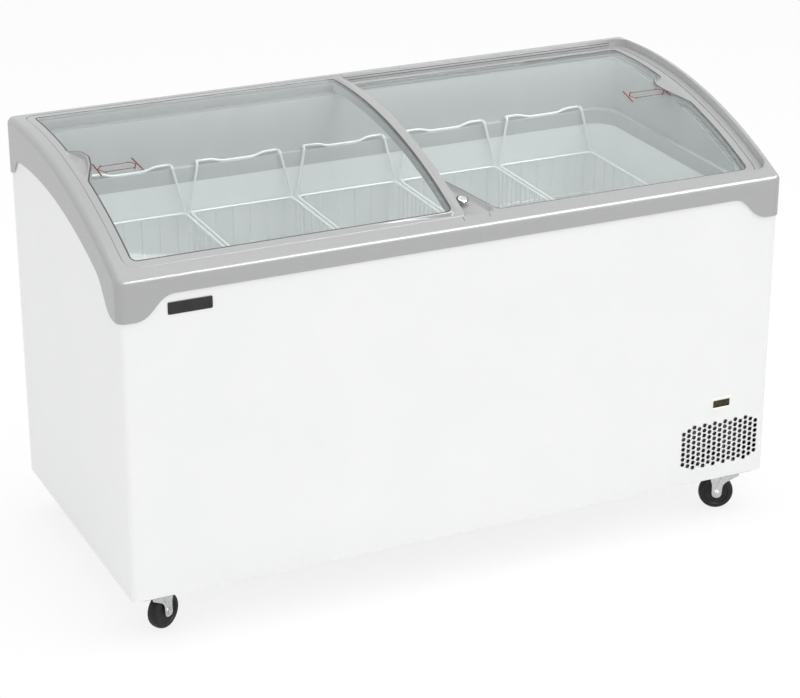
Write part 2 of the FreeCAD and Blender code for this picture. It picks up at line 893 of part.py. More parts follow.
def lock_barrel():
    seat = on_lock_axis(lower_lid_out - lock_web_depth)
    top = on_lock_axis(lower_lid_out - lock_web_depth + lock_height)
    low = on_lock_axis(lower_lid_in)
    case = rod(seat, top, lock_radius).fuse(rod(low, top, lock_sleeve_radius)).removeSplitter()
    return case.cut(bore(low, top, lock_plug_radius + bore_gap))


def lock_plug():
    """Key plug with its slot, and the cam on its lower end."""
    cam_top = lower_lid_in - seat_gap
    top = lower_lid_out - lock_web_depth + lock_height - seat_gap
    plug = rod(on_lock_axis(cam_top - lock_cam_thickness), on_lock_axis(top), lock_plug_radius)
    across = lock_axis().cross(V(1, 0, 0))
    cam_middle = on_lock_axis(cam_top - lock_cam_thickness / 2)
    cam = flat_bar(cam_middle, cam_middle + V(lock_cam_length, 0, 0), across * lock_cam_width,
                   lock_axis() * lock_cam_thickness)
    half = V(key_slot_length / 2, 0, 0)
    slot = flat_bar(on_lock_axis(top) - half, on_lock_axis(top) + half, across * key_slot_width,
                    lock_axis() * 2 * key_slot_depth)
    return plug.fuse(cam).removeSplitter().cut(slot)


# Baskets
def grid(width, height, columns, rows, frame_bar, bar, thick):
    """Flat welded grid in the XY plane: a frame of bars with columns by rows of gaps."""
    outer = Part.makePolygon([V(0, 0, 0), V(width, 0, 0), V(width, height, 0), V(0, height, 0), V(0, 0, 0)])
    wires = [outer]
    gap_x = (width - 2 * frame_bar - (columns - 1) * bar) / columns
    gap_y = (height - 2 * frame_bar - (rows - 1) * bar) / rows
    for i in range(columns):
        for j in range(rows):
            x = frame_bar + i * (gap_x + bar)
            y = frame_bar + j * (gap_y + bar)
            wires.append(Part.makePolygon([V(x, y, 0), V(x, y + gap_y, 0), V(x + gap_x, y + gap_y, 0),
                                           V(x + gap_x, y, 0), V(x, y, 0)]))
    return Part.Face(wires).extrude(V(0, 0, thick))


def sweep_bar(points, size):
    """Bar of square section along a chain of points, mitred at its corners; it sets out along Y."""
    start = points[0]
    h = size / 2
    spots = [start + V(i * h, 0, j * h) for i, j in ((-1, -1), (1, -1), (1, 1), (-1, 1), (-1, -1))]
    section = Part.makePolygon(spots)
    return Part.makePolygon(points).makePipeShell([section], True, False, 1)


def level_square(middle, size):
    h = size / 2
    spots = [middle + V(i * h, j * h, 0) for i, j in ((-1, -1), (1, -1), (1, 1), (-1, 1), (-1, -1))]
    return Part.Face(Part.makePolygon(spots))


def handle(end, hook_z):
    """Lifting handle at one end, end is 1 at the back and -1 at the front: two leaning uprights,
    and a top bar that reaches out over the ledge and dips where it rests on it."""
    half = handle_width / 2
    rest = hook_z + seat_gap + rim_wire / 2
    top = rest + handle_dip
    y_rim = end * (tub_y - basket_inset - rim_wire / 2)
    y_in = end * (tub_y - handle_clear - rim_wire / 2)
    y_hook = end * (tub_y + (body_depth / 2 - throat_back - tub_y) / 2)
    y_start = y_in - end * rim_wire / 2
    chain = [V(-half, y_start, top), V(-half, y_hook, top),
             V(-handle_dip_left - handle_slope, y_hook, top), V(-handle_dip_left, y_hook, rest),
             V(handle_dip_right, y_hook, rest), V(handle_dip_right + handle_slope, y_hook, top),
             V(half, y_hook, top), V(half, y_start, top)]
    parts = [sweep_bar(chain, rim_wire)]
    for side in (-1, 1):
        foot_x = side * (basket_width - rim_wire) / 2
        lean = V(side * half - foot_x, y_in - y_rim, top - rim_wire / 2 - basket_rim_z)
        parts.append(level_square(V(foot_x, y_rim, basket_rim_z), rim_wire).extrude(lean))
    return parts


def basket():
    """Welded wire basket about X 0: a floor grid, four wall grids and two handles."""
    y0 = -tub_y + basket_inset
    y1 = tub_y - basket_inset
    low = basket_rim_z - basket_height
    inner = basket_width - 2 * rim_wire
    floor = grid(inner, y1 - y0 - 2 * rim_wire, basket_columns, basket_rows, wire, wire, wire)
    floor.translate(V(-inner / 2, y0 + rim_wire, low))
    solids = [floor]
    side = grid(y1 - y0, basket_height, basket_rows, 1, rim_wire, wire, rim_wire)
    side.rotate(V(0, 0, 0), V(1, 1, 1), 120)
    for x in (-basket_width / 2, basket_width / 2 - rim_wire):
        wall = side.copy()
        wall.translate(V(x, y0, low))
        solids.append(wall)
    end = grid(inner, basket_height, basket_columns, 1, rim_wire, wire, rim_wire)
    end.rotate(V(0, 0, 0), V(1, 0, 0), 90)
    for y in (y0 + rim_wire, y1):
        wall = end.copy()
        wall.translate(V(-inner / 2, y, low))
        solids.append(wall)
    return Part.makeCompound(solids + handle(1, hook_ledge_z) + handle(-1, front_hook_z))


# Castors, drawn with the swivel axis at the origin and the wheel trailing towards +X
plate_low = body_bottom - castor_plate_thickness
race_low = plate_low - race_height
head_top = race_low - bore_gap
head_low = head_top - fork_head
leg_in = wheel_width / 2 + fork_gap
leg_out = leg_in + fork_leg


def castor_plate():
    half = castor_size / 2
    plate = prism(rectangle(-half, half, -half, half, castor_chamfer), plate_low, body_bottom, 1)
    pin_low = head_low - bore_gap - rivet_height
    race = rod(V(0, 0, race_low), V(0, 0, plate_low), race_radius)
    pin = rod(V(0, 0, pin_low), V(0, 0, race_low), kingpin_radius)
    rivet = rod(V(0, 0, pin_low), V(0, 0, pin_low + rivet_height), rivet_radius)
    return fuse_all([plate, race, pin, rivet])


def castor_fork(braked):
    """Head, two legs and the riveted axle; the braked fork also has the pedal's pin."""
    root = head_low + fork_weld
    ear = pedal_pivot_x + fork_ear if braked else fork_head_radius
    outline = [(-fork_back, root, 0), (ear, root, 0), (ear, pedal_pivot_z - fork_ear, 0),
               (castor_trail + fork_foot, wheel_radius, 0),
               (castor_trail + fork_foot / 2, wheel_radius - fork_foot, 0),
               (castor_trail - fork_foot / 2, wheel_radius - fork_foot, 0),
               (castor_trail - fork_foot, wheel_radius, 0)]
    parts = [rod(V(0, 0, head_low), V(0, 0, head_top), fork_head_radius, large_side_count),
             upright_plate(outline, leg_in, leg_out), upright_plate(outline, -leg_out, -leg_in)]
    hub = V(castor_trail, 0, wheel_radius)
    reach = V(0, leg_out, 0)
    head = V(0, axle_head, 0)
    parts.append(rod(hub - reach, hub + reach, axle_radius))
    parts.append(rod(hub - reach - head, hub - reach, axle_head_radius, axle_head_side_count))
    parts.append(rod(hub + reach, hub + reach + head, axle_head_radius, axle_head_side_count))
    if braked:
        pivot = V(pedal_pivot_x, 0, pedal_pivot_z)
        parts.append(rod(pivot - V(0, leg_in, 0), pivot + V(0, leg_in, 0), pedal_pin_radius))
    return fuse_all(parts).cut(bore(V(0, 0, head_low), V(0, 0, head_top), kingpin_radius + bore_gap))


def castor_wheel():
    """Tyre with sloped shoulders and a flat of its tread on the floor, a proud hub and the axle's bore."""
    hub = V(castor_trail, 0, wheel_radius)
    half = wheel_width / 2
    corner = 1 / math.cos(math.pi / large_side_count)
    rings = []
    for v, radius in ((-half, wheel_radius - wheel_crown), (wheel_shoulder - half, wheel_radius),
                      (half - wheel_shoulder, wheel_radius), (half, wheel_radius - wheel_crown)):
        rings.append(ring(hub + V(0, v, 0), V(0, 1, 0), radius * corner, large_side_count, 0.5))
    reach = V(0, leg_in - bore_gap, 0)
    wheel = stacked(rings).fuse(rod(hub - reach, hub + reach, hub_radius)).removeSplitter()
    return wheel.cut(bore(hub - reach, hub + reach, axle_radius + bore_gap))


def castor_pedal():
    """Foot brake: a shoe that stands just off the tread, and a tab to press."""
    x, z = pedal_pivot_x, pedal_pivot_z
    b = pedal_boss
    outline = [(x, z + b, 0), (x + pedal_reach, z - b, 0), (x + pedal_reach, z - b - pedal_thickness, 0),
               (x + shoe_end, z - b, 0), (x + shoe_end, z - shoe_drop, 0), (x + shoe_start, z - shoe_drop, 0),
               (x + b, z - b, 0), (x, z - b, 0), (x - b, z, 0)]
    pedal = upright_plate(outline, -pedal_width / 2, pedal_width / 2)
    reach = V(0, pedal_width, 0)
    hub = V(castor_trail, 0, wheel_radius)
    pivot = V(x, 0, z)
    swept = wheel_radius / math.cos(math.pi / large_side_count) + pedal_gap
    pedal = pedal.cut(bore(hub - reach, hub + reach, swept, large_side_count))
    return pedal.cut(bore(pivot - reach, pivot + reach, pedal_pin_radius + bore_gap))


def save_castor(name, x, y, turn, braked):
    fixed = castor_plate()
    fixed.translate(V(x, y, 0))
    save("castor_plate_" + name, fixed)
    pieces = {"castor_fork_": castor_fork(braked), "castor_wheel_": castor_wheel()}
    if braked:
        pieces["castor_brake_"] = castor_pedal()
    for label, shape in pieces.items():
        shape.rotate(V(0, 0, 0), V(0, 0, 1), turn)
        shape.translate(V(x, y, 0))
        save(label + name, shape)


# Machinery behind the grille
machine_x = (machine_left + right) / 2
condenser_x = right - condenser_inset - condenser_width / 2
condenser_y = front + condenser_front
fan_z = base_top + fan_shroud_height / 2
fan_y = condenser_y + condenser_depth + fan_from_condenser


def compressor_feet():
    feet = []
    for i in (-1, 1):
        for j in (-1, 1):
            spot = V(machine_x + i * foot_x, compressor_y + j * foot_y, base_top)
            feet.append(rod(spot, spot + V(0, 0, foot_height), foot_radius))
    return Part.makeCompound(feet)


def compressor():
    """Welded dome on a foot plate."""
    low = base_top + foot_height
    reach_x = foot_x + foot_radius
    reach_y = foot_y + foot_radius
    plate = box(machine_x - reach_x, machine_x + reach_x, compressor_y - reach_y, compressor_y + reach_y,
                low, low + base_thickness)
    profile = [(compressor_base_inset, base_thickness / 2), (0.0, compressor_rim_height),
               (0.0, compressor_height - compressor_wall_drop),
               (compressor_shoulder_inset, compressor_height - compressor_shoulder_drop),
               (compressor_cap_inset, compressor_height)]
    rings = []
    for inset, height in profile:
        middle = V(machine_x, compressor_y, low + height)
        rings.append(ring(middle, V(0, 0, 1), compressor_radius - inset, large_side_count))
    return plate.fuse(stacked(rings)).removeSplitter()


def relay_box():
    x = machine_x - compressor_radius - seat_gap
    z = base_top + foot_height + relay_rise
    return box(x - relay_size, x, compressor_y - relay_size, compressor_y + relay_size, z, z + 2 * relay_size)


def condenser():
    """Finned block: rows of fins on both faces of a core."""
    x0 = condenser_x - condenser_width / 2
    block = box(x0, x0 + condenser_width, condenser_y, condenser_y + condenser_depth, base_top,
                base_top + condenser_height)
    pitch = (condenser_width - fin_thickness) / condenser_fins
    deep = (condenser_depth - condenser_core) / 2
    slots = []
    for i in range(condenser_fins):
        x = x0 + fin_thickness + i * pitch
        for y in (condenser_y - cut_over, condenser_y + condenser_depth - deep):
            slots.append(box(x, x + pitch - fin_thickness, y, y + deep + cut_over, base_top - cut_over,
                             base_top + condenser_height - condenser_core))
    return block.cut(Part.makeCompound(slots))


def fan_shroud():
    x0 = condenser_x - condenser_width / 2
    plate = box(x0, x0 + condenser_width, fan_y - sheet, fan_y, base_top, base_top + fan_shroud_height)
    middle = V(condenser_x, fan_y, fan_z)
    through = V(0, 2 * sheet, 0)
    return plate.cut(bore(middle - through, middle + through, fan_radius + fan_tip_gap, large_side_count))


def fan_motor():
    """Motor can on a post, with its shaft towards the fan."""
    shaft = V(condenser_x, fan_y, fan_z)
    face = shaft + V(0, fan_hub_length / 2 + fan_motor_gap, 0)
    back_end = face + V(0, fan_motor_length, 0)
    half = fan_motor_radius / 2
    post = box(condenser_x - half, condenser_x + half, face.y + fan_post_inset, back_end.y - fan_post_inset,
               base_top, fan_z)
    return fuse_all([rod(face, back_end, fan_motor_radius), rod(shaft, face, fan_shaft_radius), post])


def fan_rotor():
    """Hub with flat blades set at an angle to the air stream."""
    along = V(0, fan_hub_length / 2, 0)
    parts = [rod(-along, along, fan_hub_radius)]
    half = fan_blade_thickness / 2
    for i in range(fan_blades):
        blade = box(fan_hub_radius - fan_blade_root, fan_radius - fan_blade_root, -fan_blade_width / 2,
                    fan_blade_width / 2, -half, half)
        blade.rotate(V(0, 0, 0), V(1, 0, 0), fan_blade_angle)
        blade.rotate(V(0, 0, 0), V(0, 1, 0), 360.0 * i / fan_blades)
        parts.append(blade)
    rotor = fuse_all(parts).cut(bore(V(0, -bore_gap, 0), along, fan_shaft_radius + bore_gap))
    rotor.translate(V(condenser_x, fan_y, fan_z))
    return rotor


def discharge_pipe():
    """Tube from the top of the compressor over the fan to the top of the condenser."""
    start = V(machine_x, compressor_y, base_top + foot_height + compressor_height)
    end = V(machine_x, condenser_y + condenser_depth / 2, base_top + condenser_height)
    top = machine_top - pipe_headroom
    path = [start, V(start.x, start.y, top), V(end.x, end.y, top), end]
    section = ring(start, V(0, 0, 1), tube_radius, small_side_count)
    return Part.makePolygon(path).makePipeShell([section], True, False, 1)


os.makedirs("parts", exist_ok=True)
cabinet = {"top_frame": top_frame, "front_panel": front_panel, "back_panel": back_panel,
           "vent_cover": vent_cover, "cable_gland": cable_gland, "base_pan": base_pan,
           "inner_liner": inner_liner, "inner_collar": inner_collar,
           "evaporator_coil": evaporator_coil, "bulkhead": bulkhead,
           "insulation_foam": insulation_foam, "thermo_bezel": thermo_bezel, "thermo_lens": thermo_lens,
           "compressor": compressor, "compressor_feet": compressor_feet, "relay_box": relay_box,
           "condenser": condenser, "fan_shroud": fan_shroud, "fan_motor": fan_motor, "fan_rotor": fan_rotor,
           "discharge_pipe": discharge_pipe, "lock_barrel": lock_barrel, "lock_plug": lock_plug}
for name, make in cabinet.items():
    save(name, make())
for side, upper in (("left", True), ("right", False)):
    save(side + "_panel", side_panel(-1 if upper else 1))
    save(side + "_lid_frame", lid_frame(upper))
    save(side + "_lid_glass", lid_glass(upper))
    save(side + "_lid_gliders", lid_gliders(upper))
one_basket = basket()
for index in range(basket_count):
    copy = one_basket.copy()
    copy.translate(V((index - (basket_count - 1) / 2) * basket_pitch, 0, 0))
    save("basket_%d" % (index + 1), copy)
for end, y, braked in (("front", front + castor_inset_y, True), ("back", back - castor_inset_y, False)):
    for side, x in (("left", left + castor_inset_x), ("right", right - castor_inset_x)):
        save_castor(end + "_" + side, x, y, castor_turn[end + "_" + side], braked)
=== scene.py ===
import json
import math
import bmesh
import bpy
import numpy as np
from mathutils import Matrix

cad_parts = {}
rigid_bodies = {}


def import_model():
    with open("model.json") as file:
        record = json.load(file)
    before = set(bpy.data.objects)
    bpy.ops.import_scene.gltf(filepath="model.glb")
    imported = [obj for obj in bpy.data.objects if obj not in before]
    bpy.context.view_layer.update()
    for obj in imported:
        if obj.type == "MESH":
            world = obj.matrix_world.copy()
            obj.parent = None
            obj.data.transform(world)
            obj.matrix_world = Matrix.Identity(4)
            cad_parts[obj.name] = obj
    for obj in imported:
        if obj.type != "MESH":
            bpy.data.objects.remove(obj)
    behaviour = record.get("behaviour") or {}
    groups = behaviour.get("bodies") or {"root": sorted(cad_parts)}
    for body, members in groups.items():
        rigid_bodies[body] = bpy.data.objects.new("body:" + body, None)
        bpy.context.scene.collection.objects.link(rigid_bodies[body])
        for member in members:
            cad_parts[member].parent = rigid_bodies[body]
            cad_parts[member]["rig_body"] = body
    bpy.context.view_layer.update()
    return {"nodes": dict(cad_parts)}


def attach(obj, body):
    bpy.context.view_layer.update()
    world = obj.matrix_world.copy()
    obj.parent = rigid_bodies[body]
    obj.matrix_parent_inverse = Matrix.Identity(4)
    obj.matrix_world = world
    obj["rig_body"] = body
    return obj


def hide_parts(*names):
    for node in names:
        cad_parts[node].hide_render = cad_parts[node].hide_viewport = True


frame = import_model()
nodes = frame["nodes"]


class Feed:
    # a socket of a node tree; sums on it add Math nodes
    def __init__(self, tree, socket=None):
        self.tree = tree
        self.socket = socket

    def add(self, kind, settings=None, values=None, output=0):
        # a new node of that kind: its settings first, then its sockets
        node = self.tree.nodes.new("ShaderNode" + kind)
        for name, value in (settings or {}).items():
            setattr(node, name, value)
        self.fill(node, values or {})
        return Feed(self.tree, node.outputs[output])

    def fill(self, node, values):
        # gives a node's sockets their values or links
        for name, value in values.items():
            if isinstance(value, Feed):
                self.tree.links.new(value.socket, node.inputs[name])
            else:
                node.inputs[name].default_value = value

    def maths(self, operation, first, second):
        return self.add("Math", {"operation": operation}, {0: first, 1: second})

    def __add__(self, other):
        return self.maths("ADD", self, other)

    def __sub__(self, other):
        return self.maths("SUBTRACT", self, other)

    def __rsub__(self, other):
        return self.maths("SUBTRACT", other, self)

    def __mul__(self, other):
        return self.maths("MULTIPLY", self, other)

    def __pow__(self, other):
        return self.maths("POWER", self, other)

    __radd__ = __add__
    __rmul__ = __mul__


def cloud(tree, size, detail=2.0):
    # noise whose blots are about that many metres across
    place = tree.add("TexCoord", output="Object")
    return tree.add("TexNoise", {}, {"Vector": place, "Scale": 1 / size, "Detail": detail}, "Fac")


def cells(tree, size, feature="F1", output="Distance"):
    # cells that many metres across, by default the way to the middle of the nearest one
    place = tree.add("TexCoord", output="Object")
    return tree.add("TexVoronoi", {"feature": feature}, {"Vector": place, "Scale": 1 / size}, output)


def tint(tree, mask, low, high):
    return tree.add("Mix", {"data_type": "RGBA"}, {0: mask, 6: (*low, 1.0), 7: (*high, 1.0)}, 2)


def relief(tree, height, depth, strength):
    return tree.add("Bump", {}, {"Height": height, "Distance": depth, "Strength": strength}, "Normal")


def newFinish(paint):
    # a material named for its paint, the start of its feeds, and its nodes
    finish = bpy.data.materials.new(paint.__name__)
    finish.use_nodes = True
    return finish, Feed(finish.node_tree), finish.node_tree.nodes


def makeFinish(paint):
    # a Principled material whose sockets take the values and feeds that paint gives
    finish, start, made = newFinish(paint)
    start.fill(made["Principled BSDF"], paint(start))
    return finish


def makeBlend(paint):
    # a material of two shaders: paint gives the mix's factor and both of them
    finish, start, made = newFinish(paint)
    made.remove(made["Principled BSDF"])
    both = start.add("MixShader", {}, dict(enumerate(paint(start))))
    start.fill(made["Material Output"], {"Surface": both})
    return finish


def whiteCoat(tree):
    # baked white powder coat: orange peel, and a faint cloudiness in colour and gloss
    blots = cloud(tree, 0.16, 3.0)
    return {"Base Color": tint(tree, blots, (0.835, 0.84, 0.845), (0.875, 0.877, 0.877)),
            "Roughness": 0.36 + 0.1 * blots,
            "Normal": relief(tree, cloud(tree, 0.0016), 0.00006, 0.6)}


def greyMoulding(tree):
    # spark-grained grey plastic: each grain is a little paler and duller at its edge
    grain = cells(tree, 0.0011)
    return {"Base Color": tint(tree, grain, (0.4, 0.402, 0.405), (0.435, 0.437, 0.44)),
            "Roughness": 0.24 + 0.06 * grain,
            "Specular IOR Level": 0.25,
            "Normal": relief(tree, grain, 0.00008, 0.5)}


def linerWhite(tree):
    # stucco-embossed aluminium liner under white lacquer
    stucco = cells(tree, 0.006, "SMOOTH_F1")
    frost = cloud(tree, 0.11, 4.0)
    return {"Base Color": tint(tree, frost, (0.88, 0.89, 0.89), (0.93, 0.935, 0.935)),
            "Roughness": 0.3 + 0.2 * frost,
            "Normal": relief(tree, stucco, 0.0006, 0.5)}


def throatGrey(tree):
    # the throat's paler moulding, with a film of frost
    frost = cloud(tree, 0.07, 4.0)
    return {"Base Color": tint(tree, frost, (0.52, 0.53, 0.53), (0.58, 0.59, 0.59)),
            "Roughness": 0.4 + 0.2 * frost,
            "Normal": relief(tree, cells(tree, 0.0014), 0.0001, 0.4)}


def zincPlate(tree):
    # zinc plating: bright spangles of differing gloss
    spangle = cells(tree, 0.004, "F1", "Color")
    tone = tree.add("SeparateColor", {}, {"Color": spangle}, "Red")
    scuff = cloud(tree, 0.012, 4.0)
    return {"Base Color": tint(tree, tone, (0.5, 0.505, 0.515), (0.6, 0.605, 0.61)),
            "Metallic": 1.0,
            "Roughness": 0.2 + 0.14 * tone + 0.12 * scuff,
            "Normal": relief(tree, scuff, 0.0001, 0.4)}


def blackRubber(tree):
    # moulded tread: dull, dusty in patches
    dust = cloud(tree, 0.014, 4.0)
    return {"Base Color": tint(tree, dust, (0.008, 0.008, 0.008), (0.03, 0.03, 0.031)),
            "Roughness": 0.42 + 0.22 * dust,
            "Specular IOR Level": 0.2,
            "Normal": relief(tree, cloud(tree, 0.0012), 0.0001, 0.5)}


def blackMoulding(tree):
    # fine-grained black plastic, handled in patches
    patch = cloud(tree, 0.03, 3.0)
    return {"Base Color": tint(tree, patch, (0.012, 0.012, 0.013), (0.028, 0.028, 0.03)),
            "Roughness": 0.34 + 0.18 * patch,
            "Specular IOR Level": 0.3,
            "Normal": relief(tree, cloud(tree, 0.0014), 0.0001, 0.5)}


def chromeLock(tree):
    # turned and plated brass, with faint tool marks
    marks = cloud(tree, 0.0009, 3.0)
    return {"Base Color": tint(tree, marks, (0.66, 0.66, 0.67), (0.83, 0.83, 0.84)),
            "Metallic": 1.0,
            "Roughness": 0.1 + 0.1 * marks,
            "Normal": relief(tree, marks, 0.00004, 0.4)}


def dippedWire(tree):
    # white plastic dip on steel wire
    runs = cloud(tree, 0.012)
    return {"Base Color": tint(tree, runs, (0.83, 0.835, 0.84), (0.89, 0.89, 0.89)),
            "Roughness": 0.28 + 0.14 * runs,
            "Normal": relief(tree, runs, 0.0003, 0.3)}


def foamYellow(tree):
    # blown foam: dull, with open bubbles
    tone = cloud(tree, 0.05, 3.0)
    return {"Base Color": tint(tree, tone, (0.62, 0.52, 0.28), (0.72, 0.63, 0.38)),
            "Roughness": 0.85,
            "Normal": relief(tree, cells(tree, 0.003), 0.001, 0.6)}


def finAluminium(tree):
    haze = cloud(tree, 0.02, 3.0)
    return {"Base Color": tint(tree, haze, (0.62, 0.63, 0.64), (0.76, 0.765, 0.77)),
            "Metallic": 1.0,
            "Roughness": 0.28 + 0.2 * haze}


def copperTube(tree):
    tarnish = cloud(tree, 0.018, 4.0)
    return {"Base Color": tint(tree, tarnish, (0.42, 0.17, 0.09), (0.78, 0.38, 0.22)),
            "Metallic": 1.0,
            "Roughness": 0.2 + 0.3 * tarnish}


def blackSteel(tree):
    # enamelled black shell
    runs = cloud(tree, 0.03, 3.0)
    return {"Base Color": tint(tree, runs, (0.012, 0.012, 0.013), (0.03, 0.03, 0.032)),
            "Roughness": 0.22 + 0.2 * runs,
            "Normal": relief(tree, cloud(tree, 0.003), 0.0002, 0.4)}


def creamMoulding(tree):
    tone = cloud(tree, 0.02)
    return {"Base Color": tint(tree, tone, (0.86, 0.85, 0.76), (0.9, 0.89, 0.82)),
            "Roughness": 0.3 + 0.12 * tone,
            "Normal": relief(tree, cloud(tree, 0.0012), 0.00005, 0.4)}


def darkWindow(tree):
    # smoked window over a dim display
    tone = cloud(tree, 0.004, 4.0)
    return {"Base Color": tint(tree, tone, (0.014, 0.012, 0.006), (0.06, 0.05, 0.028)),
            "Roughness": 0.2 + 0.15 * tone,
            "Specular IOR Level": 0.25}


def signRed(tree):
    # dull red ink, a little uneven
    ink = cloud(tree, 0.003, 3.0)
    return {"Base Color": tint(tree, ink, (0.15, 0.012, 0.018), (0.23, 0.026, 0.032)),
            "Roughness": 0.5 + 0.15 * ink,
            "Specular IOR Level": 0.1}


def sealDark(tree):
    tone = cloud(tree, 0.01, 3.0)
    return {"Base Color": tint(tree, tone, (0.035, 0.036, 0.038), (0.075, 0.077, 0.08)),
            "Roughness": 0.5 + 0.2 * tone}


def paneGlass(tree):
    # clear toughened glass: a faint green tint seen through, and the room mirrored at the slant
    smear = cloud(tree, 0.08, 3.0)
    through = tree.add("BsdfTransparent", {}, {"Color": (0.97, 0.987, 0.985, 1.0)})
    mirror = tree.add("BsdfGlossy", {}, {"Color": (0.95, 0.98, 0.98, 1.0), "Roughness": 0.03})
    facing = tree.add("LayerWeight", {}, {"Blend": 0.5}, "Facing")
    slant = 0.04 + 0.96 * facing ** 5.0  # the same from both sides of the pane
    return slant * (0.9 + 0.2 * smear), through, mirror


paints = {"white_sheet": whiteCoat, "grey_plastic": greyMoulding, "inner_white": linerWhite, "zinc": zincPlate,
          "black_wheel": blackRubber, "foam": foamYellow, "black_plastic": blackMoulding,
          "lock_metal": chromeLock, "white_wire": dippedWire, "fin_metal": finAluminium,
          "copper_tube": copperTube, "black_steel": blackSteel, "cream_plastic": creamMoulding,
          "dark_window": darkWindow}
finishes = {slot: makeFinish(paint) for slot, paint in paints.items()}
finishes["clear_glass"] = makeBlend(paneGlass)
signInk, gasket, throatFinish = makeFinish(signRed), makeFinish(sealDark), makeFinish(throatGrey)
for node in nodes.values():  # every carried-over solid takes the finish of its slot
    slotName = node.data.materials[0].name.split(".")[0]
    node.data.materials.clear()
    node.data.materials.append(finishes[slotName])
print("finishes made for", len(finishes), "slots")


def quadGrid(rows, cols, closeRows=False, closeCols=False):
    # quads over rows x cols points numbered row by row; a closed way joins its last line to its first
    i, j = np.meshgrid(np.arange(rows - (not closeRows)), np.arange(cols - (not closeCols)), indexing="ij")
    down, across = (i + 1) % rows, (j + 1) % cols
    corners = [i * cols + j, i * cols + across, down * cols + across, down * cols + j]
    return np.stack(corners, -1).reshape(-1, 4)


def loft(rings, closeRings=False, capStart=True, capEnd=True):
    # rings of equal count, shape (rings, points, 3), joined in turn; the ends are filled
    count, around = rings.shape[:2]
    faces = quadGrid(count, around, closeRings, True).tolist()
    if not closeRings and capStart:
        faces.append(list(range(around))[::-1])
    if not closeRings and capEnd:
        faces.append(list(range((count - 1) * around, count * around)))
    return rings.reshape(-1, 3), faces


def lengths(vectors):
    return np.linalg.norm(vectors, axis=1)


def unit(vectors):
    return vectors / lengths(vectors)[:, None]


def bendCorners(corners, radius, steps=5):
    # open path through the corners, each inner one rounded: points a tangent length back on both runs carry a
    # quadratic curve whose middle pole is the corner; no tangent takes more than about half of a run
    corners = np.asarray(corners, float)
    here = corners[1:-1]
    back, forth = corners[:-2] - here, corners[2:] - here
    reach = np.minimum(radius, 0.48 * np.minimum(lengths(back), lengths(forth)))[:, None]
    start, stop = here + unit(back) * reach, here + unit(forth) * reach
    t = np.linspace(0, 1, steps)[None, :, None]
    arcs = (1 - t) ** 2 * start[:, None] + 2 * t * (1 - t) * here[:, None] + t ** 2 * stop[:, None]
    return np.concatenate([corners[:1], arcs.reshape(-1, 3), corners[-1:]])


def wireTube(path, radius, around=8, closed=False, square=(0, 0, 1)):
    # a circle carried along a path, in the plane across the path's direction; no run goes along square
    path = np.asarray(path, float)
    if closed:
        along = unit(np.roll(path, -1, 0) - np.roll(path, 1, 0))
    else:
        along = unit(np.gradient(path, axis=0))
    side = unit(np.cross(along, np.asarray(square, float)))
    up = np.cross(along, side)
    turn = (np.arange(around) * 2 * np.pi / around)[None, :, None]
    rings = path[:, None] + radius * (np.cos(turn) * side[:, None] + np.sin(turn) * up[:, None])
    return loft(rings, closed)


def turned(profile, centre, axis, around=48):
    # lathe: a profile of (along, radius) turned about an axis through the centre, closed at both ends
    profile = np.asarray(profile, float)
    axis = np.asarray(axis, float) / np.linalg.norm(axis)
    side = np.cross(axis, (0, 0, 1) if abs(axis[2]) < 0.9 else (1, 0, 0))
    side /= np.linalg.norm(side)
    up = np.cross(axis, side)
    turn = (np.arange(around) * 2 * np.pi / around)[:, None]
    spokes = np.cos(turn) * side + np.sin(turn) * up
    return loft(np.asarray(centre) + profile[:, :1, None] * axis + profile[:, 1:, None] * spokes[None])


def roundedLoop(corners, steps=8):
    # closed outline through (x, y, radius) corners: a tangent arc of steps points at each, worked out for all
    # corners at once; a corner of no radius gets its point steps times
    data = np.asarray(corners, float)
    here, radius = data[:, :2], np.maximum(data[:, 2], 0.01)
    back = unit(np.roll(here, 1, 0) - here)
    forth = unit(np.roll(here, -1, 0) - here)
    half = np.arccos(np.clip((back * forth).sum(1), -1, 1)) / 2
    middle = back + forth
    middle /= np.maximum(lengths(middle), 1e-9)[:, None]
    centre = here + middle * (radius / np.sin(half))[:, None]
    turn = np.sign(back[:, 0] * forth[:, 1] - back[:, 1] * forth[:, 0])
    sweep = -turn * (np.pi - 2 * half)
    spoke = here + back * (radius / np.tan(half))[:, None] - centre
    angle = sweep[:, None] * np.linspace(0, 1, steps)[None]
    x = centre[:, :1] + np.cos(angle) * spoke[:, :1] - np.sin(angle) * spoke[:, 1:]
    y = centre[:, 1:] + np.sin(angle) * spoke[:, :1] + np.cos(angle) * spoke[:, 1:]
    return np.stack([x.ravel(), y.ravel()], 1)


def boxLoop(x0, x1, y0, y1, radius, steps=8):
    # a rectangle with four equal rounded corners
    return roundedLoop([(x0, y0, radius), (x1, y0, radius), (x1, y1, radius), (x0, y1, radius)], steps)


def loopNormals(loop):
    # unit normals to the left of a closed loop, each square to the line between its point's neighbours
    ahead = unit(np.roll(loop, -1, 0) - np.roll(loop, 1, 0))
    return np.stack([-ahead[:, 1], ahead[:, 0]], 1)


def addObject(name, data):
    thing = bpy.data.objects.new(name, data)
    bpy.context.scene.collection.objects.link(thing)
    return thing


def readAll(items, name, width=1, kind=float):
    # one property of all of a mesh's items as an array, in rows where the property has a width
    values = np.zeros(len(items) * width, kind)
    items.foreach_get(name, values)
    return values.reshape(-1, width) if width > 1 else values


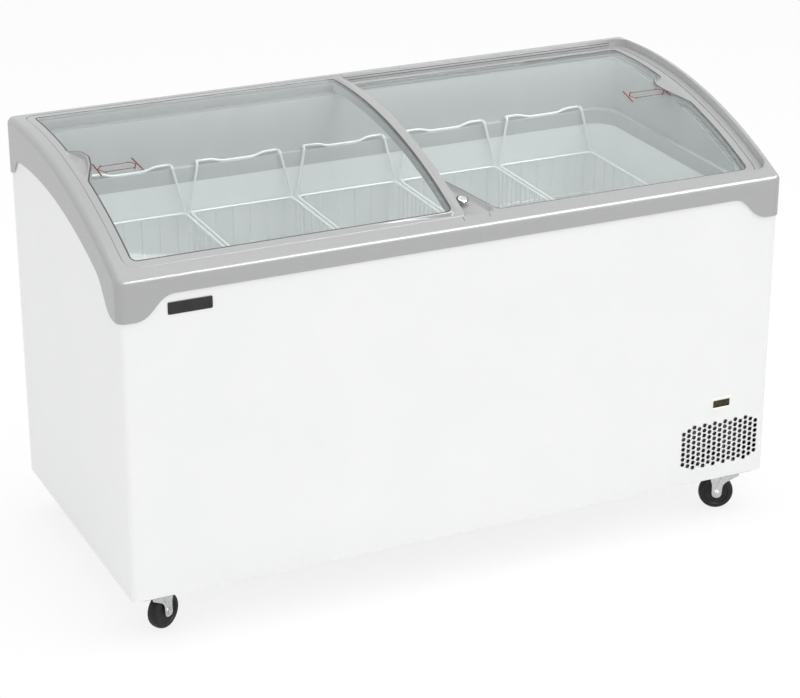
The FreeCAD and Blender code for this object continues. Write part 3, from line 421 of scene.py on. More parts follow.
def putPiece(name, shells, look, body, stands=(), angle=35.0, wall=0.0, merge=True):
    # joins shells of (points in mm, faces) into one piece in metres, which rides on a body
    points, faces, start = [], [], 0
    for spots, quads in shells:
        points.append(spots)
        faces += [[corner + start for corner in face] for face in quads]
        start += len(spots)
    mesh = bpy.data.meshes.new(name)
    mesh.from_pydata(np.concatenate(points) * 0.001, [], faces)
    if merge:
        work = bmesh.new()
        work.from_mesh(mesh)
        bmesh.ops.remove_doubles(work, verts=work.verts, dist=1e-6)
        if not wall:
            bmesh.ops.recalc_face_normals(work, faces=work.faces)
        work.to_mesh(mesh)
        work.free()
    mesh.shade_smooth()
    mesh.set_sharp_from_angle(angle=math.radians(angle))
    piece = addObject(name, mesh)
    if wall:
        sharpenRim(mesh)
        solid = piece.modifiers.new("wall", "SOLIDIFY")
        solid.thickness = wall * 0.001
        solid.offset = -1.0
    if isinstance(look, str):
        look = finishes[look]
    mesh.materials.append(look)
    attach(piece, body)
    if stands:
        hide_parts(*stands)
    return piece


def sharpenRim(mesh):
    # edges with one face only are sharp, so that a wall's rim doesn't bend the light on its flat faces
    edges = readAll(mesh.loops, "edge_index", kind=int)
    marks = readAll(mesh.edges, "use_edge_sharp", kind=bool)
    mesh.edges.foreach_set("use_edge_sharp", marks | (np.bincount(edges, minlength=len(marks)) == 1))


def smoothCopy(node):
    # the solid's own triangles merged at their corners and shaded smooth between sharp edges
    source = nodes[node].data
    spots = np.round(readAll(source.vertices, "co", 3), 6)
    spots, index = np.unique(spots, axis=0, return_inverse=True)
    corners = readAll(source.loops, "vertex_index", kind=int)
    faces = index.ravel()[corners].reshape(-1, 3)
    faces = faces[(faces != np.roll(faces, 1, 1)).all(1)]  # none with two corners in one place
    look = next(slot for slot, finish in finishes.items() if finish == source.materials[0])
    piece = putPiece(node + "_smooth", [(spots * 1000, faces.tolist())], look, nodes[node]["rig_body"], (node,),
                     angle=30.0, merge=False)
    weighted = piece.modifiers.new("faces first", "WEIGHTED_NORMAL")
    weighted.keep_sharp = True
    weighted.weight = 80
    return piece


# the axis that the crown and both lids are curved about, and the radius of the frame's under side
arch = {"axisY": 217.0, "axisZ": -330.0, "under": 1190.7}


def archPoint(x, y, rho):
    # a point rho from the lids' axis: its height is the axis plus the arc's rise at that y
    x, y, rho = np.broadcast_arrays(x, y, rho)
    return np.stack([x, y, arch["axisZ"] + np.sqrt(rho ** 2 - (y - arch["axisY"]) ** 2)], -1)


# near is how close to a form a point counts as on it, turn the least cosine between its light and its face
moulding = {"halfX": 720.0, "halfY": 340.0, "corner": 18.0, "crown": 1225.0, "shoulder": 14.0, "near": 0.05,
            "turn": 0.75}


def formLight(piece):
    # the moulding's outer faces take their normals from the form itself: outwards on its walls, along the radius
    # on its crown, and on the shoulder out of a rolling ball's middle, found by the depths below wall and crown
    m = moulding
    mesh = piece.data
    spots = readAll(mesh.vertices, "co", 3) * 1000
    past = np.maximum(np.abs(spots[:, :2]) - (m["halfX"] - m["corner"], m["halfY"] - m["corner"]), 0)
    length = lengths(past)
    outward = np.sign(spots[:, :2]) * past / np.maximum(length, 1e-6)[:, None]
    outward = np.insert(outward, 2, 0.0, axis=1)
    radial = spots * (0, 1, 1) - (0, arch["axisY"], arch["axisZ"])
    rho = lengths(radial)
    radial /= rho[:, None]
    wallDepth, crownDepth = m["corner"] - length, m["crown"] - rho
    first, second = 1 - wallDepth / m["shoulder"], 1 - crownDepth / m["shoulder"]
    lean = (outward * radial).sum(1)
    byWall, byCrown = first - lean * second, second - lean * first
    ball = (byWall[:, None] * outward + byCrown[:, None] * radial) / (1 - lean ** 2)[:, None]
    size = lengths(ball)
    rolled = (np.abs(size - 1) < m["near"]) & (byWall > 0) & (byCrown > 0)
    light = np.where((crownDepth < m["near"])[:, None], radial, 0.0)
    light = np.where((wallDepth < m["near"])[:, None], outward, light)
    light = np.where(rolled[:, None], ball / np.maximum(size, 1e-6)[:, None], light)
    light = light[readAll(mesh.loops, "vertex_index", kind=int)]
    flat = np.repeat(readAll(mesh.polygons, "normal", 3), 3, axis=0)  # three corners to a triangle
    light = np.where(((light * flat).sum(1) > m["turn"])[:, None], light, 0.0)
    mesh.normals_split_custom_set(light.tolist())


for name in ("left_panel", "right_panel"):
    smoothCopy(name)
topMoulding = smoothCopy("top_frame")
topMoulding.modifiers.clear()
formLight(topMoulding)
print("mouldings smoothed")

# sliding lids: a moulded frame with a finger pull, a pane and its dark seal; the pull's points are given in from the
# stile and down from its top, each with its rounding
lids = {"left_lid": {"edges": (-689.7, 8.25, -310.2, 311.2), "rho": 1224.5, "way": 1, "seal": 3.2},
        "right_lid": {"edges": (-11.75, 686.2, -301.2, 302.2), "rho": 1208.5, "way": -1, "seal": 2.2}}
lidForm = {
    "thick": 12.0, "outerStile": 16.0, "innerStile": 20.0, "frontRail": 15.0, "backRail": 17.0,
    "outerCorner": 24.0, "innerCorner": 8.0, "edgeRound": 1.5, "edgeSoft": 0.44, "lip": 0.8,
    "lipSoft": 0.25, "ledge": 5.0, "bed": 0.2, "glassCorner": 14.0, "glassSunk": 1.0, "glassThick": 3.8,
    "webX": 80.0, "webY": 108.0, "webRound": 30.0, "pullTop": 71.0, "pullDeep": 8.5, "pullRim": 1.6,
    "pullWall": 4.0, "pullFrom": 18.0, "pullOver": 12.0, "fallFrom": 6.0, "fallOver": 26.0,
    "pull": ((0.0, 0.0, 8.0), (22.4, 0.0, 16.0), (32.0, 30.0, 16.0), (25.6, 61.0, 16.0), (0.0, 122.0, 16.0)),
    "beadLift": 0.04, "beadTall": 0.6, "beadRows": 6, "topRows": 22, "steps": 9, "spacing": 9.0}


def lidLoops(lid):
    # the glass edge and the lid's outer edge as two loops of matching points: corner to corner, and straight across
    # from each point of the finger pull and of the lock's web
    f = lidForm
    steps, r, way = f["steps"], f["glassCorner"], lid["way"]
    x0, x1, y0, y1 = lid["edges"]
    low, high = y0 + f["frontRail"], y1 - f["backRail"]
    outer, inner = (x0, x1) if way > 0 else (x1, x0)
    edge, far = outer + way * f["outerStile"], inner - way * f["innerStile"]
    pull = [(edge + way * inset, f["pullTop"] - drop, bend) for inset, drop, bend in f["pull"]]
    if way > 0:
        start = [(far, low, r)]
    else:
        start = [(far + f["webX"], low, f["webRound"]), (far, low + f["webY"], f["webRound"])]
    glass = roundedLoop(start + [(far, high, r), (edge, high, r)] + pull + [(edge, low, r)], steps)
    rim = roundedLoop([(inner, y0, f["innerCorner"]), (inner, y1, f["innerCorner"]),
                       (outer, y1, f["outerCorner"]), (outer, y0, f["outerCorner"])], steps)
    glass, rim = glass.reshape(-1, steps, 2), rim.reshape(-1, steps, 2)
    across = np.stack([np.full(glass.shape[:2], outer), glass[:, :, 1]], -1)
    if way > 0:
        pairs = [(glass[0], rim[0]), (glass[1], rim[1]), (glass[2], rim[2])]
    else:
        share = np.linspace(0, 1, steps + 2)[1:-1, None]
        web = glass[0, -1] * (1 - share) + glass[1, 0] * share
        below = np.stack([glass[0, :, 0], np.full(steps, y0)], -1)
        beside = np.stack([np.full(steps, inner), glass[1, :, 1]], -1)
        pairs = [(glass[0], below), (web, rim[0]), (glass[1], beside), (glass[2], rim[1]), (glass[3], rim[2])]
    pulled = slice(-len(pull) - 1, -1)
    pairs += [*zip(glass[pulled], across[pulled]), (glass[-1], rim[3])]
    return fillRuns(*[np.concatenate(side) for side in zip(*pairs)], f["spacing"])


def fillRuns(first, second, spacing):
    # more points on the long runs of two matching loops, spread evenly between their neighbours
    gaps = [lengths(np.roll(loop, -1, 0) - loop) for loop in (first, second)]
    count = np.maximum(np.ceil(np.maximum(*gaps) / spacing).astype(int), 1)
    start = np.repeat(np.arange(len(first)), count)
    share = ((np.arange(count.sum()) - np.repeat(np.cumsum(count) - count, count)) / count[start])[:, None]
    follow = (start + 1) % len(first)
    return [loop[start] * (1 - share) + loop[follow] * share for loop in (first, second)]


def glassNormals(glass, rim):
    # the glass edge's normals, turned away from the rim
    square = loopNormals(glass)
    return square * np.sign((square * (glass - rim)).sum(1))[:, None]


def easeIn(share):
    # a smooth step from 0 to 1: three squares less two cubes
    share = np.clip(share, 0, 1)
    return 3 * share ** 2 - 2 * share ** 3


def lidFrame(lid, glass, rim):
    # rows run from the ledge out below, round the outer edge and over the top to the glass, and down to the ledge
    # under it; over the pull the top sinks: full depth behind a rim beside the glass, running out towards the stile
    f = lidForm
    rho, r, lip = lid["rho"], f["edgeRound"], f["lip"]
    width = lengths(glass - rim)
    into = unit(glass - rim)
    inward = glass + glassNormals(glass, rim) * f["ledge"]
    seat = rho - f["glassSunk"] - f["glassThick"] - f["bed"]
    rows = [(inward, rho - f["thick"]), (rim, rho - f["thick"]), (rim, rho - r),
            (rim + into * f["edgeSoft"], rho - f["edgeSoft"])]
    deep = f["pullDeep"] * np.clip((width - f["pullFrom"]) / f["pullOver"], 0, 1) ** 2
    top = width - r - lip
    for share in np.linspace(0, 1, f["topRows"]):
        fromGlass = top * (1 - share)
        wall = easeIn((fromGlass - f["pullRim"]) / f["pullWall"])
        fall = easeIn((width - f["fallFrom"] - fromGlass) / f["fallOver"])
        rows.append((rim + into * (r + top * share)[:, None], rho - deep * wall * fall))
    rows += [(glass - into * f["lipSoft"], rho - f["lipSoft"]), (glass, rho - lip), (glass, seat), (inward, seat)]
    return loft(np.stack([archPoint(*line.T, level) for line, level in rows]), True)


def lidPane(lid, glass):
    # one ring of four points for each y: left and right edge of the pane there, on its upper and lower arc
    middle = glass[:, 0].mean()
    y = np.unique(np.round(glass[:, 1], 3))
    sides = []
    for half in (glass[glass[:, 0] < middle], glass[glass[:, 0] >= middle]):
        half = half[np.argsort(half[:, 1], kind="stable")]
        sides.append(np.interp(y, half[:, 1], half[:, 0]))
    left, right = sides
    top = lid["rho"] - lidForm["glassSunk"]
    low = top - lidForm["glassThick"]
    corners = ((left, top), (right, top), (right, low), (left, low))
    return loft(np.stack([archPoint(x, y, rho) for x, rho in corners], 1))


def lidSeal(lid, glass, rim):
    # a low rounded bead along the glass edge: half an ellipse drawn in from the edge
    f = lidForm
    square = glassNormals(glass, rim) * lid["seal"]
    foot = lid["rho"] - f["glassSunk"] + f["beadLift"]
    rows = [archPoint(*(glass + square * (1 - np.cos(a)) / 2).T, foot + f["beadTall"] * np.sin(a))
            for a in np.linspace(0, np.pi, f["beadRows"])]
    return loft(np.stack(rows), True)


for name, lid in lids.items():
    glass, rim = lidLoops(lid)
    putPiece(name + "_moulding", [lidFrame(lid, glass, rim)], "grey_plastic", name, (name + "_frame",), angle=50)
    putPiece(name + "_pane", [lidPane(lid, glass)], "clear_glass", name, (name + "_glass",))
    putPiece(name + "_seal", [lidSeal(lid, glass, rim)], gasket, name)
print("lids moulded")

# front sheet: columns of round holes, each hole in a cell of its own, and the sheet filled in round them
sheet = {"left": -704.0, "right": 704.0, "low": 97.0, "high": 748.0, "faceY": -336.0, "thick": 1.2,
         "columns": 15, "lastX": 691.4, "columnPitch": 12.64, "rowPitch": 11.7, "hole": 9.1, "around": 16,
         "middleZ": 181.0, "longCount": 9}


def frontSheet():
    # a cell is a ring of quads from a circle out to a rectangle of one pitch by one pitch, four steps to a side, so
    # that a column half a pitch higher meets its points; a column's strips take in those of both its neighbours
    s = sheet
    octant = np.arange(s["around"]) * 8 / s["around"]
    circle = s["hole"] / 2 * np.stack([np.cos(octant * np.pi / 4), np.sin(octant * np.pi / 4)], 1)
    side = np.clip(np.abs((octant - np.array([[2], [0]])) % 8 - 4) - 2, -1, 1).T
    cell = side * (-s["columnPitch"] / 2, s["rowPitch"] / 2)
    column = np.arange(s["columns"])
    ends = (column == 0) | (column == s["columns"] - 1)
    counts = np.where(ends, s["longCount"] - 2, s["longCount"] - column % 2)
    xs = s["lastX"] - (s["columns"] - 1 - column) * s["columnPitch"]
    spans = counts * s["rowPitch"] / 2
    shells = []
    for x, count in zip(xs, counts):
        z = s["middleZ"] + (np.arange(count) - (count - 1) / 2) * s["rowPitch"]
        rings = np.stack([cell, circle])[None] + np.stack([np.full(count, x), z], 1)[:, None, None]
        first = np.arange(count)[:, None, None] * 2 * s["around"]
        faces = first + quadGrid(2, s["around"], False, True)[None]
        shells.append((np.insert(rings.reshape(-1, 2), 1, s["faceY"], axis=1), faces.reshape(-1, 4).tolist()))
    before, after = np.append(spans[0], spans[:-1]), np.append(spans[1:], spans[-1])
    for up, edge in ((1, s["high"]), (-1, s["low"])):
        shells += [strip(*row, up, edge) for row in zip(xs, spans, before, after)]
    half = s["columnPitch"] / 2
    shells.append(flank(s["left"], xs[0] - half, spans[0]))
    shells.append(flank(s["right"], xs[-1] + half, spans[-1]))
    return shells


def sheetFace(x, z, way):
    # one flat face of the sheet through those points, turned by way to look to the front
    return np.stack([x, np.full(len(x), sheet["faceY"]), z], 1), [list(range(len(x)))[::way]]


def strip(x, own, before, after, up, edge):
    # flat face between the end of one column of cells and the sheet's edge, with the neighbours' points on its sides
    s = sheet
    across = x + s["columnPitch"] * np.linspace(-0.5, 0.5, 5)
    quarter = s["rowPitch"] / 4
    left, right = [own + quarter * np.arange(max(int(round((span - own) / quarter)), 0) + 1)
                   for span in (before, after)]
    xs = np.concatenate([np.full(len(left), across[0]), across[1:4], np.full(len(right), across[4]), across[[4, 0]]])
    z = s["middleZ"] + up * np.concatenate([left[::-1], np.full(3, own), right])
    return sheetFace(xs, np.append(z, [edge, edge]), up)


def flank(outer, inner, span):
    # flat face beside the grille: the sheet's full height, with the end column's points on its inner side
    s = sheet
    z = s["middleZ"] + np.linspace(-span, span, int(round(8 * span / s["rowPitch"])) + 1)
    z = np.concatenate([[s["high"], s["low"], s["low"]], z, [s["high"]]])
    return sheetFace(np.where(np.arange(len(z)) < 2, outer, inner), z, 1 if outer < inner else -1)


putPiece("front_sheet", frontSheet(), "white_sheet", "cabinet", ("front_panel",), wall=sheet["thick"])
print("front sheet punched")

# tub and collar
tub = {"x": 649.0, "y": 269.0, "corner": 54.0, "top": 717.0, "stepX": 352.0, "stepZ": 411.0, "floor": 163.0,
       "floorRound": 22.0, "floorRows": 6, "steps": 8, "wall": 1.2}
collar = {"x": 660.0, "y": 281.0, "corner": 40.0, "ledge": 747.0, "frontLedge": 719.0, "runs": 24, "wall": 2.0}


def tubShell():
    # the upper wall is the whole plan drawn down to the step; the deep part is the plan left of the step drawn down
    # to the floor, its last rows drawn in round the floor's edge; both share their points on the step
    t = tub
    n = t["steps"]
    right = [(t["stepX"], 0.0), (t["x"], t["corner"])]
    plan = roundedLoop([(-t["x"], -t["y"], t["corner"])] + [(x, -t["y"], r) for x, r in right]
                       + [(x, t["y"], r) for x, r in right[::-1]] + [(-t["x"], t["y"], t["corner"])], n)
    plan = np.concatenate([plan[:n + 1], plan[2 * n:4 * n + 1], plan[5 * n:]])  # one point at each end of the step
    upper = np.stack([np.insert(plan, 2, z, axis=1) for z in (t["top"], t["stepZ"])])
    deep = np.concatenate([plan[:n + 1], plan[-n - 1:]])
    turn = np.linspace(0, np.pi / 2, t["floorRows"])
    inset = np.append(0.0, t["floorRound"] * (1 - np.cos(turn)))
    level = np.append(t["stepZ"], t["floor"] + t["floorRound"] * (1 - np.sin(turn)))
    middle = np.array([(t["stepX"] - t["x"]) / 2, 0.0])
    half = np.array([(t["stepX"] + t["x"]) / 2, t["y"]])
    drawn = middle + (deep - middle)[None] * (1 - inset[:, None, None] / half)
    lower = np.concatenate([drawn, np.broadcast_to(level[:, None, None], drawn.shape[:2] + (1,))], 2)
    shelf = np.insert(plan[n:-n], 2, t["stepZ"], axis=1)
    return [loft(upper, False, False, False), loft(lower, False, False, True), (shelf, [list(range(len(shelf)))])]


def collarShell():
    # four rows round the throat: its top under the frame's arc, its foot on the ledge, the ledge's inner edge over
    # the tub, and the tub's top; the ledge lies lower along the front's straight run
    c = collar
    outer = stretch(boxLoop(-c["x"], c["x"], -c["y"], c["y"], c["corner"]), c["runs"])
    inner = stretch(boxLoop(-tub["x"], tub["x"], -tub["y"], tub["y"], tub["corner"]), c["runs"])
    ledge = np.where(outer[:, 1] < -c["y"] + 0.01, c["frontLedge"], c["ledge"])
    rows = [archPoint(*outer.T, arch["under"]), np.column_stack([outer, ledge]), np.column_stack([inner, ledge]),
            np.insert(inner, 2, tub["top"], axis=1)]
    return [loft(np.stack(rows), False, False, False)]


def stretch(loop, runs):
    # a four-cornered loop with that many extra points on each straight run
    corners = loop.reshape(4, -1, 2)
    stops = np.roll(corners[:, 0], -1, 0)
    share = np.linspace(0, 1, runs + 2)[1:-1, None]
    lines = corners[:, -1][:, None] * (1 - share) + stops[:, None] * share
    return np.concatenate([corners, lines], 1).reshape(-1, 2)


putPiece("tub_liner", tubShell(), "inner_white", "cabinet", ("inner_liner",), wall=-tub["wall"])
putPiece("throat_collar", collarShell(), throatFinish, "cabinet", ("inner_collar",), wall=-collar["wall"])
print("tub lined")

# baskets: round wires bent to U shapes and rings, a thick rim, and two dipped handles each
basket = {
    "count": 5, "pitch": 243.0, "halfX": 116.0, "halfY": 253.0, "corner": 14.0, "low": 430.0, "rim": 654.0,
    "rimWire": 3.0, "wire": 1.6, "wireBend": 12.0, "acrossCount": 12, "acrossEnd": 20.0, "alongCount": 6,
    "alongEnd": 18.0, "levels": (480.0, 560.0), "halfHandle": 93.0, "hookY": 275.0, "leanY": 262.0,
    "dipLeft": -35.0, "dipRight": 38.0, "slope": 22.0, "dip": 7.0, "backTop": 757.3, "frontTop": 729.3,
    "bend": 9.0, "cornerSteps": 6, "rimSides": 8, "wireSides": 6, "handleSides": 10}


def basketWires(x):
    # rings at the rim and two levels, U-shaped wires both ways under them, and a handle at each end that leans out
    # from the rim to its hook and dips in the middle
    b = basket
    ring = boxLoop(x - b["halfX"], x + b["halfX"], -b["halfY"], b["halfY"], b["corner"], b["cornerSteps"])
    rings = [(b["rim"], b["rimWire"])] + [(z, b["wire"]) for z in b["levels"]]
    shells = [wireTube(np.insert(ring, 2, z, axis=1), radius, b["rimSides"], True) for z, radius in rings]
    acrossY, alongX = b["halfY"] - b["acrossEnd"], b["halfX"] - b["alongEnd"]
    hoops = [((x - b["halfX"], y), (x + b["halfX"], y), (0, 1, 0))
             for y in np.linspace(-acrossY, acrossY, b["acrossCount"])]
    hoops += [((x + dx, -b["halfY"]), (x + dx, b["halfY"]), (1, 0, 0))
              for dx in np.linspace(-alongX, alongX, b["alongCount"])]
    for here, there, square in hoops:
        path = [(*here, b["rim"]), (*here, b["low"]), (*there, b["low"]), (*there, b["rim"])]
        shells.append(wireTube(bendCorners(path, b["wireBend"]), b["wire"], b["wireSides"], False, square))
    half, hook, lean = b["halfHandle"], b["hookY"], b["leanY"]
    for end, top in ((1, b["backTop"]), (-1, b["frontTop"])):
        rest = top - b["dip"]
        path = [(-b["halfX"], b["halfY"], b["rim"]), (-half, lean, top), (-half, hook, top),
                (b["dipLeft"] - b["slope"], hook, top), (b["dipLeft"], hook, rest), (b["dipRight"], hook, rest),
                (b["dipRight"] + b["slope"], hook, top), (half, hook, top), (half, lean, top),
                (b["halfX"], b["halfY"], b["rim"])]
        path = bendCorners(np.array(path) * (1, end, 1), b["bend"]) + (x, 0, 0)
        shells.append(wireTube(path, b["rimWire"], b["handleSides"], False, (1, 0, 1)))
    return shells


for number in range(basket["count"]):
    label = "basket_%d" % (number + 1)
    middle = (number - (basket["count"] - 1) / 2) * basket["pitch"]
    putPiece(label + "_wires", basketWires(middle), "white_wire", label, (label,), angle=60)
print("baskets bent")

# castors, drawn about the swivel's axis with the wheel trailing towards +X, then turned and put in place;
# outlines are (x, z, rounding) and turned profiles (along the axis, radius)
castor = {
    "radius": 37.5, "halfWidth": 12.5, "round": 8.0, "blunt": 0.6, "treadPoints": 15, "trail": 30.0,
    "side": ((12.5, 26.0), (10.5, 24.5), (10.0, 13.0), (12.0, 11.0), (13.6, 9.0), (13.7, 4.4)),
    "headLow": 85.7, "head": ((0.0, 8.0), (0.0, 21.5), (1.2, 24.4), (3.0, 25.0), (4.0, 24.2), (4.0, 8.0)),
    "legIn": 14.0, "legOut": 16.5, "legEdge": 0.6, "bendSteps": 6, "legFront": ((-17.0, 86.7, 1.5),),
    "legRear": {True: ((45.0, 86.7, 1.5), (45.0, 73.0, 7.0), (40.5, 58.0, 12.0)),
                False: ((25.0, 86.7, 1.5), (25.0, 80.0, 6.0), (40.5, 50.0, 14.0))},
    "legFoot": ((40.5, 27.0, 10.4), (19.5, 27.0, 10.4), (17.5, 60.0, 20.0), (-17.0, 80.0, 5.0)),
    "rib": ((8.0, 84.5, 4.0), (17.5, 84.5, 4.0), (34.0, 51.0, 3.5), (26.0, 51.0, 3.5)),
    "ribSunk": 0.4, "ribProud": 1.3, "ribEdge": 0.8,
    "washer": ((-0.3, 9.2), (0.8, 9.2), (1.1, 8.8)), "nut": ((0.9, 6.9), (3.4, 6.9), (4.0, 6.0)),
    "washerSides": 32, "nutSides": 6, "pinSides": 24,
    "pivot": (38.0, 80.0), "pin": ((-1.0, 4.2), (0.9, 4.0), (1.6, 2.4)),
    "plateLow": 94.0, "plateTop": 97.0, "plateHalf": 37.0, "plateCorner": 7.0, "plateEdge": 0.6,
    "cup": ((-0.5, 21.5), (1.2, 22.0), (3.0, 20.4), (4.0, 17.5)),
    "rivet": ((-4.0, 4.8), (0.4, 4.8), (0.4, 9.0), (1.8, 8.6), (2.7, 6.5), (3.2, 3.0)),
    "bolt": 27.0, "boltHead": ((-0.3, 5.4), (2.6, 5.4), (3.2, 4.7)),
    "pedal": ((33.5, 80.0, 3.0), (38.0, 85.0, 3.0), (80.0, 75.0, 1.5), (80.0, 71.0, 1.5), (58.0, 74.8, 1.2),
              (58.0, 64.8, 0.8), (50.0, 71.2, 6.0), (43.5, 74.6, 3.0), (37.0, 75.0, 2.0)),
    "pedalHalf": 11.0, "pedalEdge": 1.2, "grips": (61.0, 66.0, 71.0, 76.0), "gripHalf": 8.5, "gripWire": 1.0}
castorSpots = {"front_left": {"place": (-662.0, -296.0, 0.0), "turn": 31.5, "braked": True},
               "front_right": {"place": (662.0, -296.0, 0.0), "turn": 156.5, "braked": True},
               "back_left": {"place": (-662.0, 296.0, 0.0), "turn": -24.0, "braked": False},
               "back_right": {"place": (662.0, 296.0, 0.0), "turn": 201.0, "braked": False}}


def wheelProfile():
    # tread and side walls in one line: half an oval round the tread, a dished side, a proud hub
    c = castor
    turn = np.linspace(-np.pi / 2, np.pi / 2, c["treadPoints"])
    tread = np.stack([c["halfWidth"] * np.sin(turn), c["radius"] - c["round"] * (1 - np.cos(turn) ** c["blunt"])], 1)
    side = np.array(c["side"])
    return np.concatenate([side[::-1] * (-1, 1), tread, side])


def pressing(outline, y0, y1, edge):
    # an upright plate: its (x, z) outline drawn from y0 to y1, both faces drawn in by the edge's rounding along the
    # outline's inward normal
    loop = roundedLoop(outline, castor["bendSteps"])
    follow = np.roll(loop, -1, 0)
    inward = loopNormals(loop) * np.sign((loop[:, 0] * follow[:, 1] - follow[:, 0] * loop[:, 1]).sum())
    step = math.copysign(edge, y1 - y0)
    rings = [np.insert(loop + inward * inset, 1, y, axis=1)
             for y, inset in ((y0, edge), (y0 + step, 0.0), (y1 - step, 0.0), (y1, edge))]
    return loft(np.stack(rings))


def forkShells(braked):
    # a dished head, two pressed legs with a rib each, and the axle's washers and nuts
    c = castor
    leg = c["legFront"] + c["legRear"][braked] + c["legFoot"]
    shells = [turned(c["head"], (0, 0, c["headLow"]), (0, 0, 1))]
    for way in (1, -1):
        face = way * c["legOut"]
        hub, out = (c["trail"], face, c["radius"]), (0, way, 0)
        shells.append(pressing(leg, way * c["legIn"], face, c["legEdge"]))
        shells.append(pressing(c["rib"], face - way * c["ribSunk"], face + way * c["ribProud"], c["ribEdge"]))
        shells.append(turned(c["washer"], hub, out, c["washerSides"]))
        shells.append(turned(c["nut"], hub, out, c["nutSides"]))
        if braked:
            shells.append(turned(c["pin"], (c["pivot"][0], face, c["pivot"][1]), out, c["pinSides"]))
    return shells


def plateShells():
    # a rounded plate with four bolts, the bearing's upper cup, and the rivet under the fork's head
    c = castor
    half, low, edge = c["plateHalf"], c["plateLow"], c["plateEdge"]
    loop = boxLoop(-half, half, -half, half, c["plateCorner"])
    rings = [np.insert(loop * (1 - inset / half), 2, z, axis=1)
             for z, inset in ((c["plateTop"], 0.0), (low + edge, 0.0), (low, edge))]
    down = (0, 0, -1)
    shells = [loft(np.stack(rings)), turned(c["cup"], (0, 0, low), down),
              turned(c["rivet"], (0, 0, c["headLow"]), down)]
    for x in (-c["bolt"], c["bolt"]):
        for y in (-c["bolt"], c["bolt"]):
            shells.append(turned(c["boltHead"], (x, y, low), down, c["nutSides"]))
    return shells


def pedalShells():
    # the tab and its shoe, whose under side keeps off the tread, with grip ribs across the tab's upper line
    c = castor
    shells = [pressing(c["pedal"], -c["pedalHalf"], c["pedalHalf"], c["pedalEdge"])]
    upper = np.array(c["pedal"][1:3])
    for x in c["grips"]:
        z = np.interp(x, upper[:, 0], upper[:, 1])
        shells.append(wireTube([(x, y, z) for y in (-c["gripHalf"], 0, c["gripHalf"])], c["gripWire"]))
    return shells


def putCastor(name, shells, look, label, node, turn=0.0):
    # turns the drawn shells about the swivel's axis and carries them to their castor
    cos, sin = math.cos(math.radians(turn)), math.sin(math.radians(turn))
    spin = np.array([[cos, sin, 0], [-sin, cos, 0], [0, 0, 1]])
    shells = [(spots @ spin + castorSpots[label]["place"], faces) for spots, faces in shells]
    putPiece(name + label, shells, look, nodes[node + label]["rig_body"], (node + label,), angle=40)


for label, spot in castorSpots.items():
    tyre = turned(wheelProfile(), (castor["trail"], 0, castor["radius"]), (0, 1, 0))
    putCastor("wheel_tyre_", [tyre], "black_wheel", label, "castor_wheel_", spot["turn"])
    putCastor("fork_pressing_", forkShells(spot["braked"]), "zinc", label, "castor_fork_", spot["turn"])
    putCastor("swivel_plate_", plateShells(), "zinc", label, "castor_plate_")
    if spot["braked"]:
        putCastor("brake_pedal_", pedalShells(), "black_plastic", label, "castor_brake_", spot["turn"])
print("castors turned")

# lock: a plated barrel in a black grommet, both as profiles of (height over the lid, radius)
lock = {"x": 30.25, "y": -248.2, "rho": 1208.5,
        "barrel": ((-6.0, 9.0), (1.3, 9.0), (1.6, 8.5), (1.9, 9.0), (2.5, 9.0), (3.0, 8.4), (3.0, 6.3), (2.3, 6.1),
                   (2.3, 3.0)),
        "grommet": ((-0.5, 12.2), (0.5, 12.2), (0.9, 11.6), (0.9, 9.0))}


def lockShells():
    # barrel and grommet turned about the arch's own normal at the lock
    k = lock
    foot = archPoint(k["x"], k["y"], k["rho"])
    out = (0.0, k["y"] - arch["axisY"], foot[2] - arch["axisZ"])
    return turned(k["barrel"], foot, out), turned(k["grommet"], foot, out)


barrel, grommet = lockShells()
putPiece("lock_case", [barrel], "lock_metal", nodes["lock_barrel"]["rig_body"], ("lock_barrel",), angle=40)
putPiece("lock_grommet", [grommet], gasket, "right_lid")
smoothCopy("lock_plug")
print("lock fitted")

# thermometer's bezel: a rounded frame round the window; a row is an outline, its corner, growth and height
bezel = {"x": 602.4, "z": 273.0, "face": -336.0, "outer": (24.0, 14.0), "inner": (20.0, 8.25), "steps": 6,
         "rows": (("outer", 4.0, 0.0, -1.0), ("outer", 4.0, 0.0, 1.2), ("outer", 3.6, -0.25, 1.75),
                  ("outer", 3.2, -0.8, 2.0), ("inner", 1.6, 0.6, 2.0), ("inner", 1.2, 0.1, 1.5),
                  ("inner", 1.0, 0.1, -1.0))}


def bezelRing():
    # rows run over the frame from its outer foot to its inner foot, on matching rounded outlines
    b = bezel
    rows = []
    for outline, corner, growth, height in b["rows"]:
        halfX, halfZ = np.array(b[outline]) + growth
        loop = boxLoop(b["x"] - halfX, b["x"] + halfX, b["z"] - halfZ, b["z"] + halfZ, corner, b["steps"])
        rows.append(np.insert(loop, 1, b["face"] - height, axis=1))
    return loft(np.stack(rows), True)


putPiece("thermo_frame", [bezelRing()], "cream_plastic", "cabinet", ("thermo_bezel",), angle=40)
print("thermometer framed")

# dark strips along the back of the upper lid's track, brush seals that paint the shade of its gaps and groove, and
# the joints of the front rail
track = {"x": (-674.0, 674.0), "wallY": 312.2, "proud": 0.4, "shadeBands": ((1211.0, 1212.4), (1216.6, 1218.0)),
         "joints": (-1.0, 56.0), "jointFront": -322.5, "jointBack": -313.5, "jointWidth": 1.3}


def shadeBand(low, high):
    # a low dark strip on the track's wall, painted shade where the wall lies in shadow: its four edges run straight
    # along the cabinet
    t = track
    foot, face = t["wallY"], t["wallY"] - t["proud"]
    edges = ((foot, low), (face, low), (face, high), (foot, high))
    return loft(np.stack([archPoint(np.array(t["x"]), y, rho) for y, rho in edges], 1))


# painted shade: these dark strips stand for the shadowed gap at the wall's foot and a shadowed groove halfway up
putPiece("track_shade_seals", [shadeBand(*band) for band in track["shadeBands"]], gasket, "cabinet")
print("track sealed")

